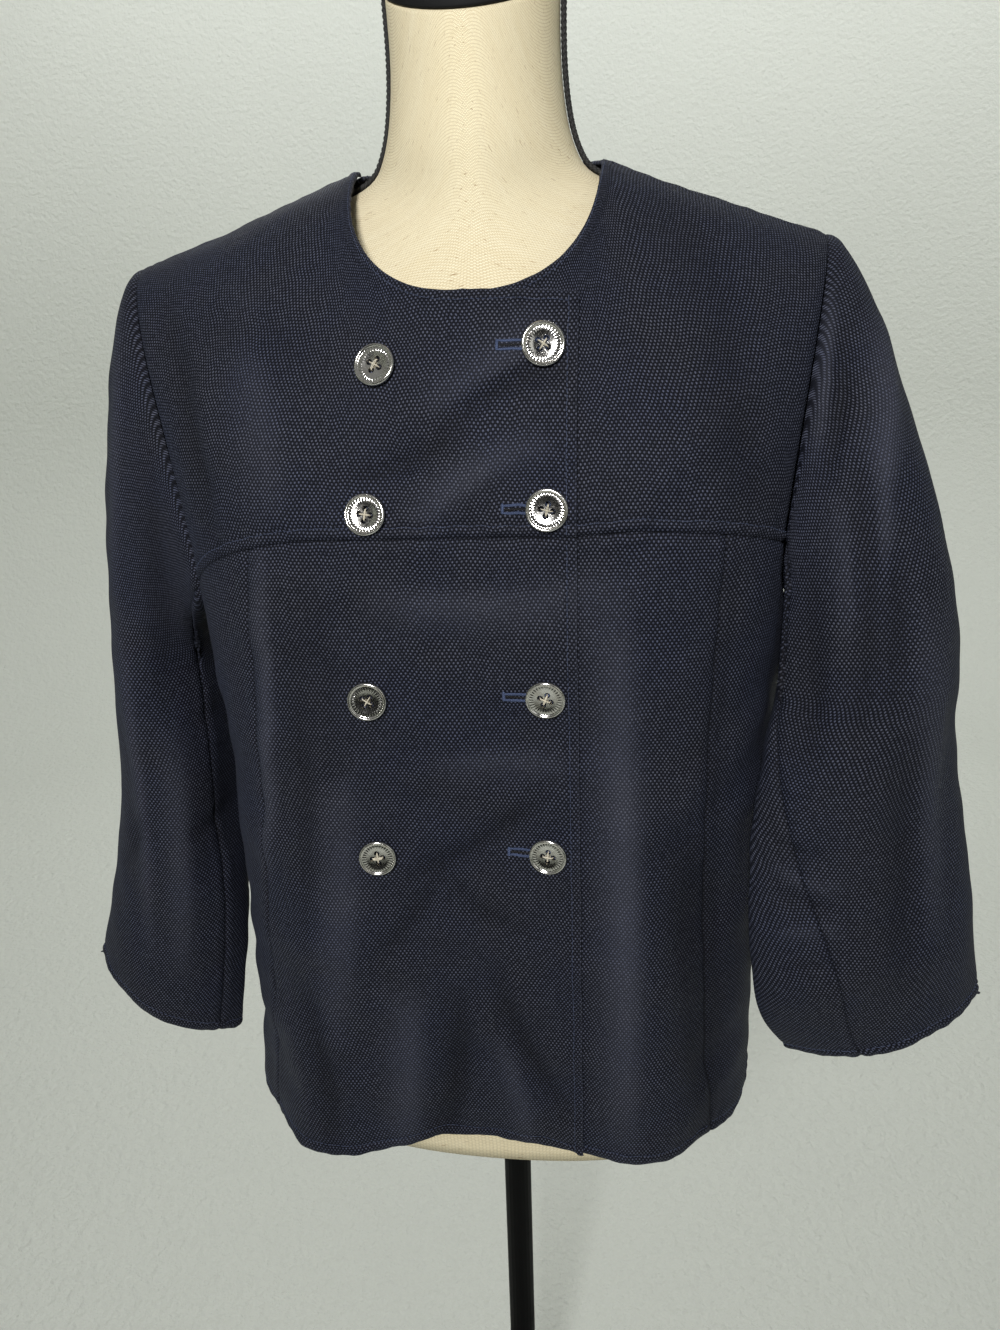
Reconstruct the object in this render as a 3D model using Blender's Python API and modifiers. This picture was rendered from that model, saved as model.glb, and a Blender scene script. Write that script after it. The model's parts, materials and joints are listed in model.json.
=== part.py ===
"""A double-breasted cropped jacket, buttoned on a limbless dress form that stands on a round base.

Metres, +Z up, -Y the front, +X the viewer's right. The origin lies on the floor under the pole.
A place on the jacket's body is an angle round it (0 at the centre front, 90 degrees at the +X side,
180 at the centre back) with a height, or, above the armholes' notches, a share of the way up.
"""

from bisect import bisect_left
from functools import lru_cache
from math import cos, exp, pi, radians, sin, sqrt, tan

import bmesh
import bpy
import numpy as np
from mathutils import Matrix, Vector

# Driving sizes
GAP = 0.0003
CLOTH = 0.0016
LAP_LIFT = 0.0028
LEAN = 0.008
ASKEW = 0.012
FORM_FOOT = 0.576

# Jacket body: rings from the hem to above the yoke seam
BODY_COLUMNS = ("height", "width", "shift", "front", "back", "flare_left", "flare_right")
BODY_RINGS = (
    (0.600, 0.202, -0.008, 0.107, 0.150, 0.041, 0.028),
    (0.760, 0.196, -0.004, 0.117, 0.136, 0.021, 0.014),
    (0.910, 0.194, -0.003, 0.121, 0.124, 0.010, 0.009),
    (1.040, 0.201, -0.001, 0.124, 0.119, 0.008, 0.008),
    (1.120, 0.206, 0.000, 0.122, 0.118, 0.005, 0.005),
)
CORNER = 0.08
SIDE_LINE_Y = 0.004
FLARE_ANGLE = radians(27)
FLARE_SPREAD = radians(15)
FLARE_WIDENS = 0.35
HEM = 0.611
UNDERARM = 1.005
FRONT_NOTCH = radians(62)
BACK_NOTCH = radians(118)
BACK_NOTCH_HEIGHT = 1.072
YOKE_HEIGHT = 1.079
YOKE_FLAT = radians(18)
YOKE_DROP_LEFT = 0.042
YOKE_DROP_RIGHT = 0.020
YOKE_STEP = 0.003
YOKE_BEND = 1.6

# Shoulders and neck
SHOULDER_HALF_LEFT = 0.234
SHOULDER_HALF_RIGHT = 0.216
SHOULDER_TIP = 1.241
SHOULDER_Y = 0.006
NAPE_RISE = 0.012
NAPE_SPREAD = 0.060
FRONT_OVER = 0.75
BACK_OVER = 1.20
OVER_RISE = 0.12
NECK_HALF = 0.078
NECK_TOP = 1.288
NECK_DEPTH = 0.074
NECK_BEND = 2.5
NAPE_DEPTH = 0.060
NECK_CORNER = radians(3)
LAP_REACH = 0.067
UNDER_LAP_REACH = 0.056
LAP_NECK_DROP = 0.0045
LAP_FADE = (radians(19), radians(37))

# Princess seams: their angles at the hem, the waist and the yoke
PRINCESS_HEIGHTS = (HEM, 0.910, YOKE_HEIGHT)
PRINCESS_LEFT = (radians(45), radians(39), radians(32))
PRINCESS_RIGHT = (radians(46), radians(40), radians(38.5))

# Sleeves: rings below the sleeve head, each side as it hangs
SLEEVE_COLUMNS = ("height", "out", "y", "half_x", "half_y", "turn", "tilt", "pinch", "rear")
SLEEVE_RINGS = {
    "left": (
        (0.960, 0.251, 0.000, 0.038, 0.072, 0, 4, 0.05, 1.0),
        (0.860, 0.256, -0.010, 0.046, 0.062, 0, 10, 0.10, 1.0),
        (0.770, 0.267, -0.022, 0.054, 0.048, 0, 17, 0.25, 1.0),
        (0.715, 0.277, -0.029, 0.057, 0.041, 0, 23, 0.35, 1.0),
        (0.672, 0.288, -0.032, 0.057, 0.036, 0, 31, 0.45, 1.0),
    ),
    "right": (
        (0.960, 0.2475, -0.054, 0.063, 0.060, 28, 3, 0.30, 0.7),
        (0.860, 0.2500, -0.070, 0.078, 0.042, 21, 8, 0.40, 1.0),
        (0.770, 0.2620, -0.082, 0.078, 0.038, 16, 12, 0.35, 1.0),
        (0.740, 0.2690, -0.079, 0.074, 0.035, 12, 15, 0.35, 1.0),
        (0.712, 0.2800, -0.075, 0.066, 0.032, 8, 18, 0.35, 1.0),
    ),
}
# Front seam, underarm and back seam round the ring, in degrees, and how fast they settle
SLEEVE_MARKS = {
    "left": ((150, 180, 210), (143, 180, 217), 1.0),
    "right": ((182, 230, 275), (125, 180, 235), 7.0),
}
SLEEVE_PUSH = {"left": 0.0, "right": 1.0}
SLEEVE_LEAVES = 0.35
SLEEVE_DROPS = (-0.10, -0.25)
SLEEVE_SWELL = 0.34
SLEEVE_LEAST_SWELL = 0.045

# Dress form: rings from the foot to the neck
FORM_COLUMNS = ("height", "width", "front", "back", "corner")
FORM_RINGS = (
    (FORM_FOOT, 0.160, 0.098, 0.106, 0.05),
    (0.620, 0.166, 0.102, 0.114, 0.05),
    (0.720, 0.170, 0.104, 0.120, 0.05),
    (0.860, 0.138, 0.090, 0.094, 0.03),
    (0.980, 0.158, 0.106, 0.102, 0.03),
    (1.060, 0.168, 0.112, 0.106, 0.03),
    (1.140, 0.170, 0.090, 0.100, 0.02),
    (1.200, 0.168, 0.066, 0.080, 0.00),
    (1.232, 0.156, 0.056, 0.066, -0.05),
    (1.2560, 0.132, 0.051, 0.058, -0.10),
    (1.2700, 0.104, 0.050, 0.055, -0.11),
    (1.2790, 0.079, 0.050, 0.054, -0.07),
    (1.2930, 0.063, 0.051, 0.054, -0.02),
    (1.320, 0.055, 0.052, 0.053, 0.00),
    (1.390, 0.053, 0.053, 0.054, 0.00),
)
NECK_SLANT = radians(26)
CAP_THICKNESS = 0.010
CAP_PROUD = 0.0015
BRAID_RADIUS = 0.0026
BRAID_END = 1.205

# Buttons: rows from the top, each with the heights and the places across of its left and right one
BUTTON_ROWS = (
    (1.176, 1.184, -0.050, 0.047),
    (1.094, 1.095, -0.058, 0.050),
    (0.977, 0.979, -0.066, 0.047),
    (0.863, 0.867, -0.069, 0.046),
)
BUTTON_PROFILE = (
    (0.0000, 0.0000),
    (0.0095, 0.0006),
    (0.0118, 0.0014),
    (0.0125, 0.0024),
    (0.0121, 0.0034),
    (0.0108, 0.0037),
    (0.0094, 0.0029),
    (0.0000, 0.0026),
)
BUTTON_STAND = 0.0001
BUTTON_SIDES = 16
HOLE_RADIUS = 0.0011
HOLE_PLACE = 0.0019

# Stand
POLE_RADIUS = 0.012
BASE_RADIUS = 0.160
BASE_HEIGHT = 0.012
COLLAR_RADIUS = 0.024
COLLAR_HEIGHT = 0.045

# How far each panel's edges stop short of its seams
SKIRT_SEAM = 0.0003
SHOULDER_SEAM = 0.0006
ARMHOLE_SEAM = 0.0004
SLEEVE_SEAM = 0.0015

# Mesh steps
YOKE_ROWS = 9
SKIRT_ROWS = 9
BACK_YOKE_ROWS = 9
UNDERARM_COLUMNS = 4
OUTER_COLUMNS = 3
MIDDLE_COLUMNS = 4
LAP_COLUMNS = 7
NECK_COLUMNS = 3
NAPE_COLUMNS = 5
HEAD_ROWS = 6
ARM_ROWS = 9
FORM_SIDES = 20
FORM_STEP = 0.04

COLOURS = {
    "navy_linen": ((0.012, 0.019, 0.055, 1), 0.85, 0.0),
    "silver_metal": ((0.72, 0.72, 0.73, 1), 0.18, 1.0),
    "cream_linen": ((0.66, 0.58, 0.47, 1), 0.90, 0.0),
    "black_cloth": ((0.012, 0.012, 0.013, 1), 0.80, 0.0),
    "black_braid": ((0.010, 0.010, 0.011, 1), 0.75, 0.0),
    "black_metal": ((0.020, 0.020, 0.021, 1), 0.45, 1.0),
}


# Curves and tables


@lru_cache(maxsize=None)
def spline_bends(xs, ys):
    """The second derivatives of the natural cubic through the points."""
    count = len(xs)
    system = np.eye(count)
    right = np.zeros(count)
    for k in range(1, count - 1):
        before = xs[k] - xs[k - 1]
        after = xs[k + 1] - xs[k]
        system[k, k - 1:k + 2] = before, 2 * (before + after), after
        right[k] = 6 * ((ys[k + 1] - ys[k]) / after - (ys[k] - ys[k - 1]) / before)
    return tuple(np.linalg.solve(system, right).tolist())


def smooth_column(xs, ys, x):
    """The natural cubic through the points, run on past its ends as straight lines."""
    bend = spline_bends(xs, ys)
    k = min(max(bisect_left(xs, x) - 1, 0), len(xs) - 2)
    step = xs[k + 1] - xs[k]
    inside = min(max(x, xs[0]), xs[-1])
    a = (xs[k + 1] - inside) / step
    b = (inside - xs[k]) / step
    value = a * ys[k] + b * ys[k + 1]
    value += ((a ** 3 - a) * bend[k] + (b ** 3 - b) * bend[k + 1]) * step ** 2 / 6
    slope = (ys[k + 1] - ys[k]) / step
    slope += ((3 * b * b - 1) * bend[k + 1] - (3 * a * a - 1) * bend[k]) * step / 6
    return value + slope * (x - inside)


@lru_cache(maxsize=None)
def read_rings(columns, rings, height):
    """Every named column of a ring table at one height."""
    rising = sorted(rings)
    heights = tuple(ring[0] for ring in rising)
    return {
        name: smooth_column(heights, tuple(ring[k] for ring in rising), height)
        for k, name in enumerate(columns)
    }


def ease(value, low, high):
    share = min(max((value - low) / (high - low), 0.0), 1.0)
    return share * share * (3 - 2 * share)


def hermite(start, leave, end, arrive, share):
    s2 = share * share
    s3 = s2 * share
    return (
        (2 * s3 - 3 * s2 + 1) * start
        + (s3 - 2 * s2 + share) * leave
        + (3 * s2 - 2 * s3) * end
        + (s3 - s2) * arrive
    )


def crossing(test, low, high):
    """Where test turns from negative to positive between low and high."""
    for _ in range(40):
        middle = (low + high) / 2
        if test(middle) < 0:
            low = middle
        else:
            high = middle
    return (low + high) / 2


# Surfaces


def across(angle, corner=CORNER):
    """How far out a ring lies at an angle, as a share of its half width."""
    return (sin(angle) + corner * sin(3 * angle)) / (1 - corner)


def along(angle, corner=CORNER):
    """How far forward a ring lies at an angle, as a share of its depth."""
    return (cos(angle) - corner * cos(3 * angle)) / (1 - corner)


def settled(point):
    """A point of the form or the jacket, which lean and sit a little askew on the pole."""
    x, y, z = point
    return np.array((x - LEAN * (z - FORM_FOOT), y, z + ASKEW * x))


def skirt(angle, height):
    """The jacket's body below the yoke seam and the armholes."""
    ring = read_rings(BODY_COLUMNS, BODY_RINGS, height)
    depth = ring["front"] if cos(angle) > 0 else ring["back"]
    left = ring["flare_left"] * exp(-(((angle + FLARE_ANGLE) / FLARE_SPREAD) ** 2))
    right = ring["flare_right"] * exp(-(((angle - FLARE_ANGLE) / FLARE_SPREAD) ** 2))
    flare = left + right
    x = ring["shift"] + ring["width"] * across(angle) + FLARE_WIDENS * flare * sin(angle)
    y = SIDE_LINE_Y - depth * along(angle) - flare * cos(angle)
    return np.array((x, y, height))


def yoke_height(angle):
    """The height at which the front's upper panels meet the lower ones."""
    side = max(abs(angle) - YOKE_FLAT, 0) / (FRONT_NOTCH - YOKE_FLAT)
    drop = YOKE_DROP_RIGHT if angle > 0 else YOKE_DROP_LEFT
    step = YOKE_STEP * ease(angle, radians(14), radians(24))
    return YOKE_HEIGHT + step - drop * side ** YOKE_BEND


def shoulder(angle):
    """The shoulder line, which runs on over the neck's opening as a guide."""
    turned = pi - abs(angle) if abs(angle) > pi / 2 else abs(angle)
    notch = FRONT_NOTCH if abs(angle) < pi / 2 else pi - BACK_NOTCH
    half = SHOULDER_HALF_RIGHT if angle > 0 else SHOULDER_HALF_LEFT
    x = half * across(turned) / across(notch)
    slope = (NECK_TOP - SHOULDER_TIP) / (half - NECK_HALF)
    z = SHOULDER_TIP + (half - x) * slope + NAPE_RISE * exp(-((x / NAPE_SPREAD) ** 2))
    return np.array((x if angle > 0 else -x, SHOULDER_Y, z))


def upper(angle, share, foot, over):
    """The body above a line of it at the height foot, up to the shoulder line."""
    start = skirt(angle, foot)
    end = shoulder(angle)
    span = np.linalg.norm(end - start)
    rising = (skirt(angle, foot + 0.002) - skirt(angle, foot - 0.002)) / 0.004
    arriving = np.array((0.0, 1.0, OVER_RISE)) * over
    return hermite(start, rising * span, end, arriving * span, share)


def front_top(angle, share):
    return upper(angle, share, yoke_height(angle), FRONT_OVER)


def back_top(angle, share):
    return upper(angle, share, BACK_NOTCH_HEIGHT, -BACK_OVER)


def armhole_height(angle):
    """The lower half of an armhole: the height of its edge at an angle outside a notch."""
    turned = abs(angle)
    if turned <= pi / 2:
        notch = FRONT_NOTCH
        top = yoke_height(FRONT_NOTCH if angle > 0 else -FRONT_NOTCH)
    else:
        notch = BACK_NOTCH
        top = BACK_NOTCH_HEIGHT
    share = min(max((turned - notch) / (pi / 2 - notch), 0.0), 1.0)
    return UNDERARM + (top - UNDERARM) * (1 - sqrt(share * (2 - share)))


# Edges of the panels


def neck_height(x):
    """The front neckline's height at a place across it."""
    share = min(abs(x) / NECK_HALF, 1.0)
    top = NECK_TOP + NAPE_RISE * exp(-((NECK_HALF / NAPE_SPREAD) ** 2))
    return top - NECK_DEPTH * (1 - share ** NECK_BEND) ** (1 / NECK_BEND)


def front_neck_share(angle, lap_side):
    """How far up the front reaches; past the centre, the lap's neckline runs on nearly flat."""
    across_neck = shoulder(angle)[0]
    if abs(across_neck) >= NECK_HALF:
        return 1.0

    def over(share):
        x, _, z = front_top(angle, share)
        if x * lap_side > 0:
            return z - neck_height(0) + LAP_NECK_DROP * (x / LAP_REACH) ** 2
        return z - neck_height(across_neck)

    return crossing(over, 0.0, 1.0)


def neck_angle(side):
    """The angle at which the shoulder line meets the neck on one side."""
    return side * crossing(lambda a: abs(shoulder(side * a)[0]) - NECK_HALF, 0.05, FRONT_NOTCH)


def back_neck_share(angle):
    x = abs(shoulder(angle)[0])
    if x >= NECK_HALF:
        return 1.0
    edge = SHOULDER_Y + NAPE_DEPTH * sqrt(1 - (x / NECK_HALF) ** 2)
    return crossing(lambda share: edge - back_top(angle, share)[1], 0.3, 1.0)


def lap_angle(surface, low_of, high_of, row, side):
    """The angle of a lap's straight front edge in one row of a panel."""
    reach = LAP_REACH if side > 0 else UNDER_LAP_REACH

    def beyond(size):
        angle = side * size
        low = low_of(angle)
        up = low + (high_of(angle) - low) * row
        return abs(surface(angle, up)[0]) - reach

    return side * crossing(beyond, radians(5), radians(30))


def princess_angle(side, height):
    angles = PRINCESS_RIGHT if side > 0 else PRINCESS_LEFT
    return side * smooth_column(PRINCESS_HEIGHTS, angles, height)


# Panels


def lap_lift(angle):
    """The top layer's height over the under layer; it comes down to the body past the lap."""
    return LAP_LIFT * (1 - ease(-angle, *LAP_FADE))


def surface_normal(surface, a, b):
    step = 0.002
    da = surface(a + step, b) - surface(a - step, b)
    db = surface(a, b + step) - surface(a, b - step)
    normal = np.cross(da, db)
    return normal / np.linalg.norm(normal)


def panel_points(surface, edges, columns, rows, low_of, high_of, lift_of=None):
    """A grid of the panel's points; edges are its angles at each share of the way up it."""
    grid = []
    for j in range(rows + 1):
        row = j / rows
        marks = [edge(row) for edge in edges]
        angles = [marks[0]]
        for start, end, count in zip(marks, marks[1:], columns):
            angles += [start + (end - start) * (i + 1) / count for i in range(count)]
        line = []
        for angle in angles:
            low = low_of(angle)
            up = low + (high_of(angle) - low) * row
            point = surface(angle, up)
            if lift_of:
                point = point + lift_of(angle) * surface_normal(surface, angle, up)
            line.append(settled(point))
        grid.append(line)
    return np.array(grid)


def drawn_in(grid, ends, sides):
    """The grid with its ends and its sides moved inwards, which leaves the gaps at the seams."""
    grid = grid.copy()
    for edge, inner in ((0, 1), (-1, -2)):
        way = grid[edge] - grid[inner]
        grid[edge] -= ends * way / np.linalg.norm(way, axis=1, keepdims=True)
    for edge, inner in ((0, 1), (-1, -2)):
        way = grid[:, edge] - grid[:, inner]
        grid[:, edge] -= sides * way / np.linalg.norm(way, axis=1, keepdims=True)
    return grid


# Objects


def material(slot):
    found = bpy.data.materials.get(slot)
    if found:
        return found
    colour, roughness, metallic = COLOURS[slot]
    made = bpy.data.materials.new(slot)
    made.use_nodes = True
    shader = made.node_tree.nodes["Principled BSDF"]
    shader.inputs["Base Color"].default_value = colour
    shader.inputs["Roughness"].default_value = roughness
    shader.inputs["Metallic"].default_value = metallic
    made.diffuse_color = colour
    return made


def add_object(name, data, slot, collection):
    data.materials.append(material(slot))
    made = bpy.data.objects.new(name, data)
    collection.objects.link(made)
    return made


def grid_mesh(name, grid, closed=False):
    """A mesh over a grid of points; a closed one joins its columns round and caps its ends."""
    rows, columns = grid.shape[:2]
    shape = bmesh.new()
    points = [[shape.verts.new(point) for point in line] for line in grid]
    for j in range(rows - 1):
        for i in range(columns if closed else columns - 1):
            k = (i + 1) % columns
            shape.faces.new((points[j][i], points[j][k], points[j + 1][k], points[j + 1][i]))
    if closed:
        shape.faces.new(points[0][::-1])
        shape.faces.new(points[-1])
    mesh = bpy.data.meshes.new(name)
    shape.to_mesh(mesh)
    shape.free()
    mesh.shade_smooth()
    return mesh


def cloth_piece(name, mesh, collection):
    """A wall of cloth whose outer face is the mesh."""
    made = add_object(name, mesh, "navy_linen", collection)
    wall = made.modifiers.new("wall", "SOLIDIFY")
    wall.thickness = CLOTH
    wall.offset = -1


def fixed(value):
    return lambda _: value


def add_fronts(collection):
    """Each front's yoke, centre panel and side panel; the one at -X laps over the other."""
    for name, side in (("left", -1), ("right", 1)):
        lap_side = -side
        lift = lap_lift if side < 0 else None
        outer = side * FRONT_NOTCH
        neck = neck_angle(side)

        def neck_share(angle, lap_side=lap_side):
            return front_neck_share(angle, lap_side)

        def yoke_lap(row, lap_side=lap_side, neck_share=neck_share):
            return lap_angle(front_top, fixed(0.0), neck_share, row, lap_side)

        def princess(row, side=side):
            return princess_angle(side, HEM + (YOKE_HEIGHT - HEM) * row)

        corner = fixed(neck - side * NECK_CORNER)
        edges = [fixed(outer), fixed(princess(1.0)), fixed(neck), corner, yoke_lap]
        columns = [OUTER_COLUMNS, MIDDLE_COLUMNS, NECK_COLUMNS, LAP_COLUMNS]
        if side > 0:
            edges.reverse()
            columns.reverse()
        grid = panel_points(front_top, edges, columns, YOKE_ROWS, fixed(0.0), neck_share, lift)
        grid = drawn_in(grid, SHOULDER_SEAM, SHOULDER_SEAM)
        cloth_piece(f"front_yoke_{name}", grid_mesh("front_yoke", grid), collection)

        def skirt_lap(row, lap_side=lap_side):
            return lap_angle(skirt, fixed(HEM), yoke_height, row, lap_side)

        edges = [princess, fixed(neck), corner, skirt_lap]
        columns = [MIDDLE_COLUMNS, NECK_COLUMNS, LAP_COLUMNS]
        if side > 0:
            edges.reverse()
            columns.reverse()
        grid = panel_points(skirt, edges, columns, SKIRT_ROWS, fixed(HEM), yoke_height, lift)
        grid = drawn_in(grid, SKIRT_SEAM, SKIRT_SEAM)
        cloth_piece(f"centre_front_{name}", grid_mesh("centre_front", grid), collection)

        def side_top(angle):
            return yoke_height(angle) if abs(angle) < FRONT_NOTCH else armhole_height(angle)

        edges = [fixed(side * pi / 2), fixed(outer), princess]
        columns = [UNDERARM_COLUMNS, OUTER_COLUMNS]
        if side > 0:
            edges.reverse()
            columns.reverse()
        grid = panel_points(skirt, edges, columns, SKIRT_ROWS, fixed(HEM), side_top)
        grid = drawn_in(grid, SKIRT_SEAM, SKIRT_SEAM)
        cloth_piece(f"side_front_{name}", grid_mesh("side_front", grid), collection)


def back_surface(angle, up):
    """The back from the hem to its top: up is a height to the notch and a share of 1 above it."""
    if abs(angle) > pi:
        angle -= 2 * pi
    if up <= BACK_NOTCH_HEIGHT:
        return skirt(angle, up)
    return back_top(angle, up - BACK_NOTCH_HEIGHT)


def add_back(collection):
    """The back, in one piece from the hem to the shoulder seams and from side to side."""
    marks = [pi / 2, BACK_NOTCH, pi - princess_angle(1, YOKE_HEIGHT), pi - neck_angle(1)]
    marks += [pi - neck_angle(-1), pi - princess_angle(-1, YOKE_HEIGHT), 2 * pi - BACK_NOTCH]
    edges = [fixed(mark) for mark in (*marks, 3 * pi / 2)]
    sides = [UNDERARM_COLUMNS, OUTER_COLUMNS, MIDDLE_COLUMNS]
    columns = [*sides, NAPE_COLUMNS, *reversed(sides)]

    def low_top(angle):
        turned = angle if angle <= pi else 2 * pi - angle
        return armhole_height(turned) if turned < BACK_NOTCH else BACK_NOTCH_HEIGHT

    lower = panel_points(back_surface, edges, columns, SKIRT_ROWS, fixed(HEM), low_top)

    def high_top(angle):
        turned = angle if angle <= pi else angle - 2 * pi
        return BACK_NOTCH_HEIGHT + back_neck_share(turned)

    above = panel_points(
        back_surface, edges[1:-1], columns[1:-1], BACK_YOKE_ROWS, fixed(BACK_NOTCH_HEIGHT), high_top
    )
    join_back(lower, above, collection)


def join_back(lower, above, collection):
    """Stitches the back's two grids along the line between the notches."""
    shape = bmesh.new()
    lower = drawn_in(lower, SKIRT_SEAM, SKIRT_SEAM)
    above = drawn_in(above, SHOULDER_SEAM, SHOULDER_SEAM)
    first = UNDERARM_COLUMNS
    lines = [[shape.verts.new(point) for point in line] for line in lower]
    shared = lines[-1][first:first + above.shape[1]]
    shared[0].co = settled(back_surface(BACK_NOTCH, BACK_NOTCH_HEIGHT))
    shared[-1].co = settled(back_surface(2 * pi - BACK_NOTCH, BACK_NOTCH_HEIGHT))
    for vertex, point in zip(shared[1:-1], above[0][1:-1]):
        vertex.co = point
    tops = [shared] + [[shape.verts.new(point) for point in line] for line in above[1:]]
    for block in (lines, tops):
        for under, over in zip(block, block[1:]):
            for i in range(len(under) - 1):
                shape.faces.new((under[i], under[i + 1], over[i + 1], over[i]))
    mesh = bpy.data.meshes.new("back")
    shape.to_mesh(mesh)
    shape.free()
    mesh.shade_smooth()
    cloth_piece("back", mesh, collection)


# Sleeves


def armhole_point(side, place):
    """The armhole's edge; place runs 0 to 4 from the shoulder tip by front, underarm and back."""
    part = min(int(place), 3)
    share = place - part
    if part == 0:
        point = front_top(side * FRONT_NOTCH, 1 - share)
    elif part == 1:
        angle = side * (FRONT_NOTCH + (pi / 2 - FRONT_NOTCH) * share)
        point = skirt(angle, armhole_height(angle))
    elif part == 2:
        angle = side * (pi / 2 + (BACK_NOTCH - pi / 2) * share)
        point = skirt(angle, armhole_height(angle))
    else:
        point = back_top(side * BACK_NOTCH, share)
    return settled(point)


def sleeve_angle(name, place, down):
    """The angle round a sleeve's ring that a place on the armhole runs down to."""
    part = min(int(place), 3)
    share = place - part
    top, cuff, fade = SLEEVE_MARKS[name]
    still = (1 - down) ** fade
    marks = [radians(low + (high - low) * still) for high, low in zip(top, cuff)]
    marks = [0.0, *marks, 2 * pi]
    return marks[part] + (marks[part + 1] - marks[part]) * share


def sleeve_ring(name, side, place, down):
    """A point of the sleeve below its head; down runs 0 to 1 to the cuff."""
    angle = sleeve_angle(name, place, down)
    rings = SLEEVE_RINGS[name]
    top, bottom = rings[0][0], rings[-1][0]
    ring = read_rings(SLEEVE_COLUMNS, rings, top + (bottom - top) * down)
    out = ring["half_x"] * cos(angle)
    back = -ring["half_y"] * sin(angle) * abs(sin(angle)) ** ring["pinch"]
    back *= ring["rear"] if back > 0 else 1.0
    turn = radians(ring["turn"])
    x = ring["out"] + out * cos(turn) - back * sin(turn)
    y = ring["y"] + out * sin(turn) + back * cos(turn)
    z = ring["height"] + (x - ring["out"]) * tan(radians(ring["tilt"]))
    return settled((side * x, y, z))


def sleeve_head(name, side, place, share):
    """A point of the sleeve between the armhole and its first ring."""
    angle = sleeve_angle(name, place, 0.0)
    drop = SLEEVE_DROPS[0] + SLEEVE_DROPS[1] * (1 - cos(angle)) / 2
    push = SLEEVE_PUSH[name] * exp(-(((place - 1) / 0.40) ** 2))
    ahead = -SLEEVE_LEAVES * sin(angle) - 0.50 * push
    leave = np.array((side * (1 - 0.75 * push), ahead, drop - 0.40 * push))
    leave /= np.linalg.norm(leave)
    start = armhole_point(side, place) + GAP * leave
    end = sleeve_ring(name, side, place, 0.0)
    span = np.linalg.norm(end - start)
    falling = sleeve_ring(name, side, place, 0.02) - end
    falling /= np.linalg.norm(falling)
    leave *= max(SLEEVE_SWELL * span, SLEEVE_LEAST_SWELL)
    return hermite(start, leave, end, falling * span, share)


def sleeve_grid(name, side, places):
    grid = []
    for j in range(HEAD_ROWS + 1):
        grid.append([sleeve_head(name, side, place % 4, j / HEAD_ROWS) for place in places])
    for j in range(1, ARM_ROWS + 1):
        down = j / ARM_ROWS
        grid.append([sleeve_ring(name, side, place % 4, down) for place in places])
    grid = np.array(grid)
    return grid[:, ::-1] if side < 0 else grid


def add_sleeves(collection):
    over = [3 + k / BACK_YOKE_ROWS for k in range(BACK_YOKE_ROWS)]
    over += [4 + k / YOKE_ROWS for k in range(YOKE_ROWS + 1)]
    under = [1 + k / UNDERARM_COLUMNS for k in range(2 * UNDERARM_COLUMNS + 1)]
    for name, side in (("left", -1), ("right", 1)):
        for piece, places in (("upper_sleeve", over), ("under_sleeve", under)):
            grid = drawn_in(sleeve_grid(name, side, places), ARMHOLE_SEAM, SLEEVE_SEAM)
            cloth_piece(f"{piece}_{name}", grid_mesh(piece, grid), collection)


# Buttons


def front_place(x, height):
    """The top layer's point and outward direction at a place across the front."""
    on_yoke = height > YOKE_HEIGHT

    def point_at(angle):
        if not on_yoke:
            return angle, height
        share = crossing(lambda s: front_top(angle, s)[2] - height, 0.0, 1.0)
        return angle, share

    surface = front_top if on_yoke else skirt
    angle = crossing(lambda a: surface(*point_at(a))[0] - x, -radians(40), radians(40))
    place = point_at(angle)
    normal = surface_normal(surface, *place)
    return settled(surface(*place) + lap_lift(angle) * normal), normal


def button_mesh(cutters):
    """One button: a turned disc with a raised rim and four holes."""
    profile = bpy.data.meshes.new("button_profile")
    line = [(radius, 0, height) for radius, height in BUTTON_PROFILE]
    profile.from_pydata(line[::-1], [(k, k + 1) for k in range(len(line) - 1)], [])
    disc = bpy.data.objects.new("button_master", profile)
    cutters.objects.link(disc)
    turn = disc.modifiers.new("turn", "SCREW")
    turn.steps = BUTTON_SIDES
    turn.render_steps = BUTTON_SIDES
    turn.use_merge_vertices = True
    turn.merge_threshold = 0.00001
    for k in range(4):
        shape = bmesh.new()
        bmesh.ops.create_cone(
            shape, cap_ends=True, segments=5, radius1=HOLE_RADIUS, radius2=HOLE_RADIUS, depth=0.02
        )
        mesh = bpy.data.meshes.new("hole")
        shape.to_mesh(mesh)
        shape.free()
        hole = bpy.data.objects.new(f"button_hole_{k + 1}", mesh)
        hole.location.x = HOLE_PLACE if k % 2 else -HOLE_PLACE
        hole.location.y = HOLE_PLACE if k < 2 else -HOLE_PLACE
        hole.hide_render = True
        hole.display_type = "WIRE"
        cutters.objects.link(hole)
        cut = disc.modifiers.new("hole", "BOOLEAN")
        cut.object = hole
    bpy.context.view_layer.update()
    seen = disc.evaluated_get(bpy.context.evaluated_depsgraph_get())
    mesh = bpy.data.meshes.new_from_object(seen)
    bpy.data.objects.remove(disc)
    mesh.name = "button"
    mesh.shade_smooth()
    mesh.set_sharp_from_angle(angle=radians(40))
    mesh.materials.clear()
    mesh.materials.append(material("silver_metal"))
    return mesh


def add_buttons(collection, cutters):
    mesh = button_mesh(cutters)
    for row, (left_height, right_height, left, right) in enumerate(BUTTON_ROWS, 1):
        for name, x, height in (("left", left, left_height), ("right", right, right_height)):
            point, normal = front_place(x, height)
            made = bpy.data.objects.new(f"button_{name}_{row}", mesh)
            collection.objects.link(made)
            made.location = Vector(point + (BUTTON_STAND + GAP) * normal)
            made.rotation_mode = "QUATERNION"
            made.rotation_quaternion = Vector(normal).to_track_quat("Z", "Y")


# Dress form and stand


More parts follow.
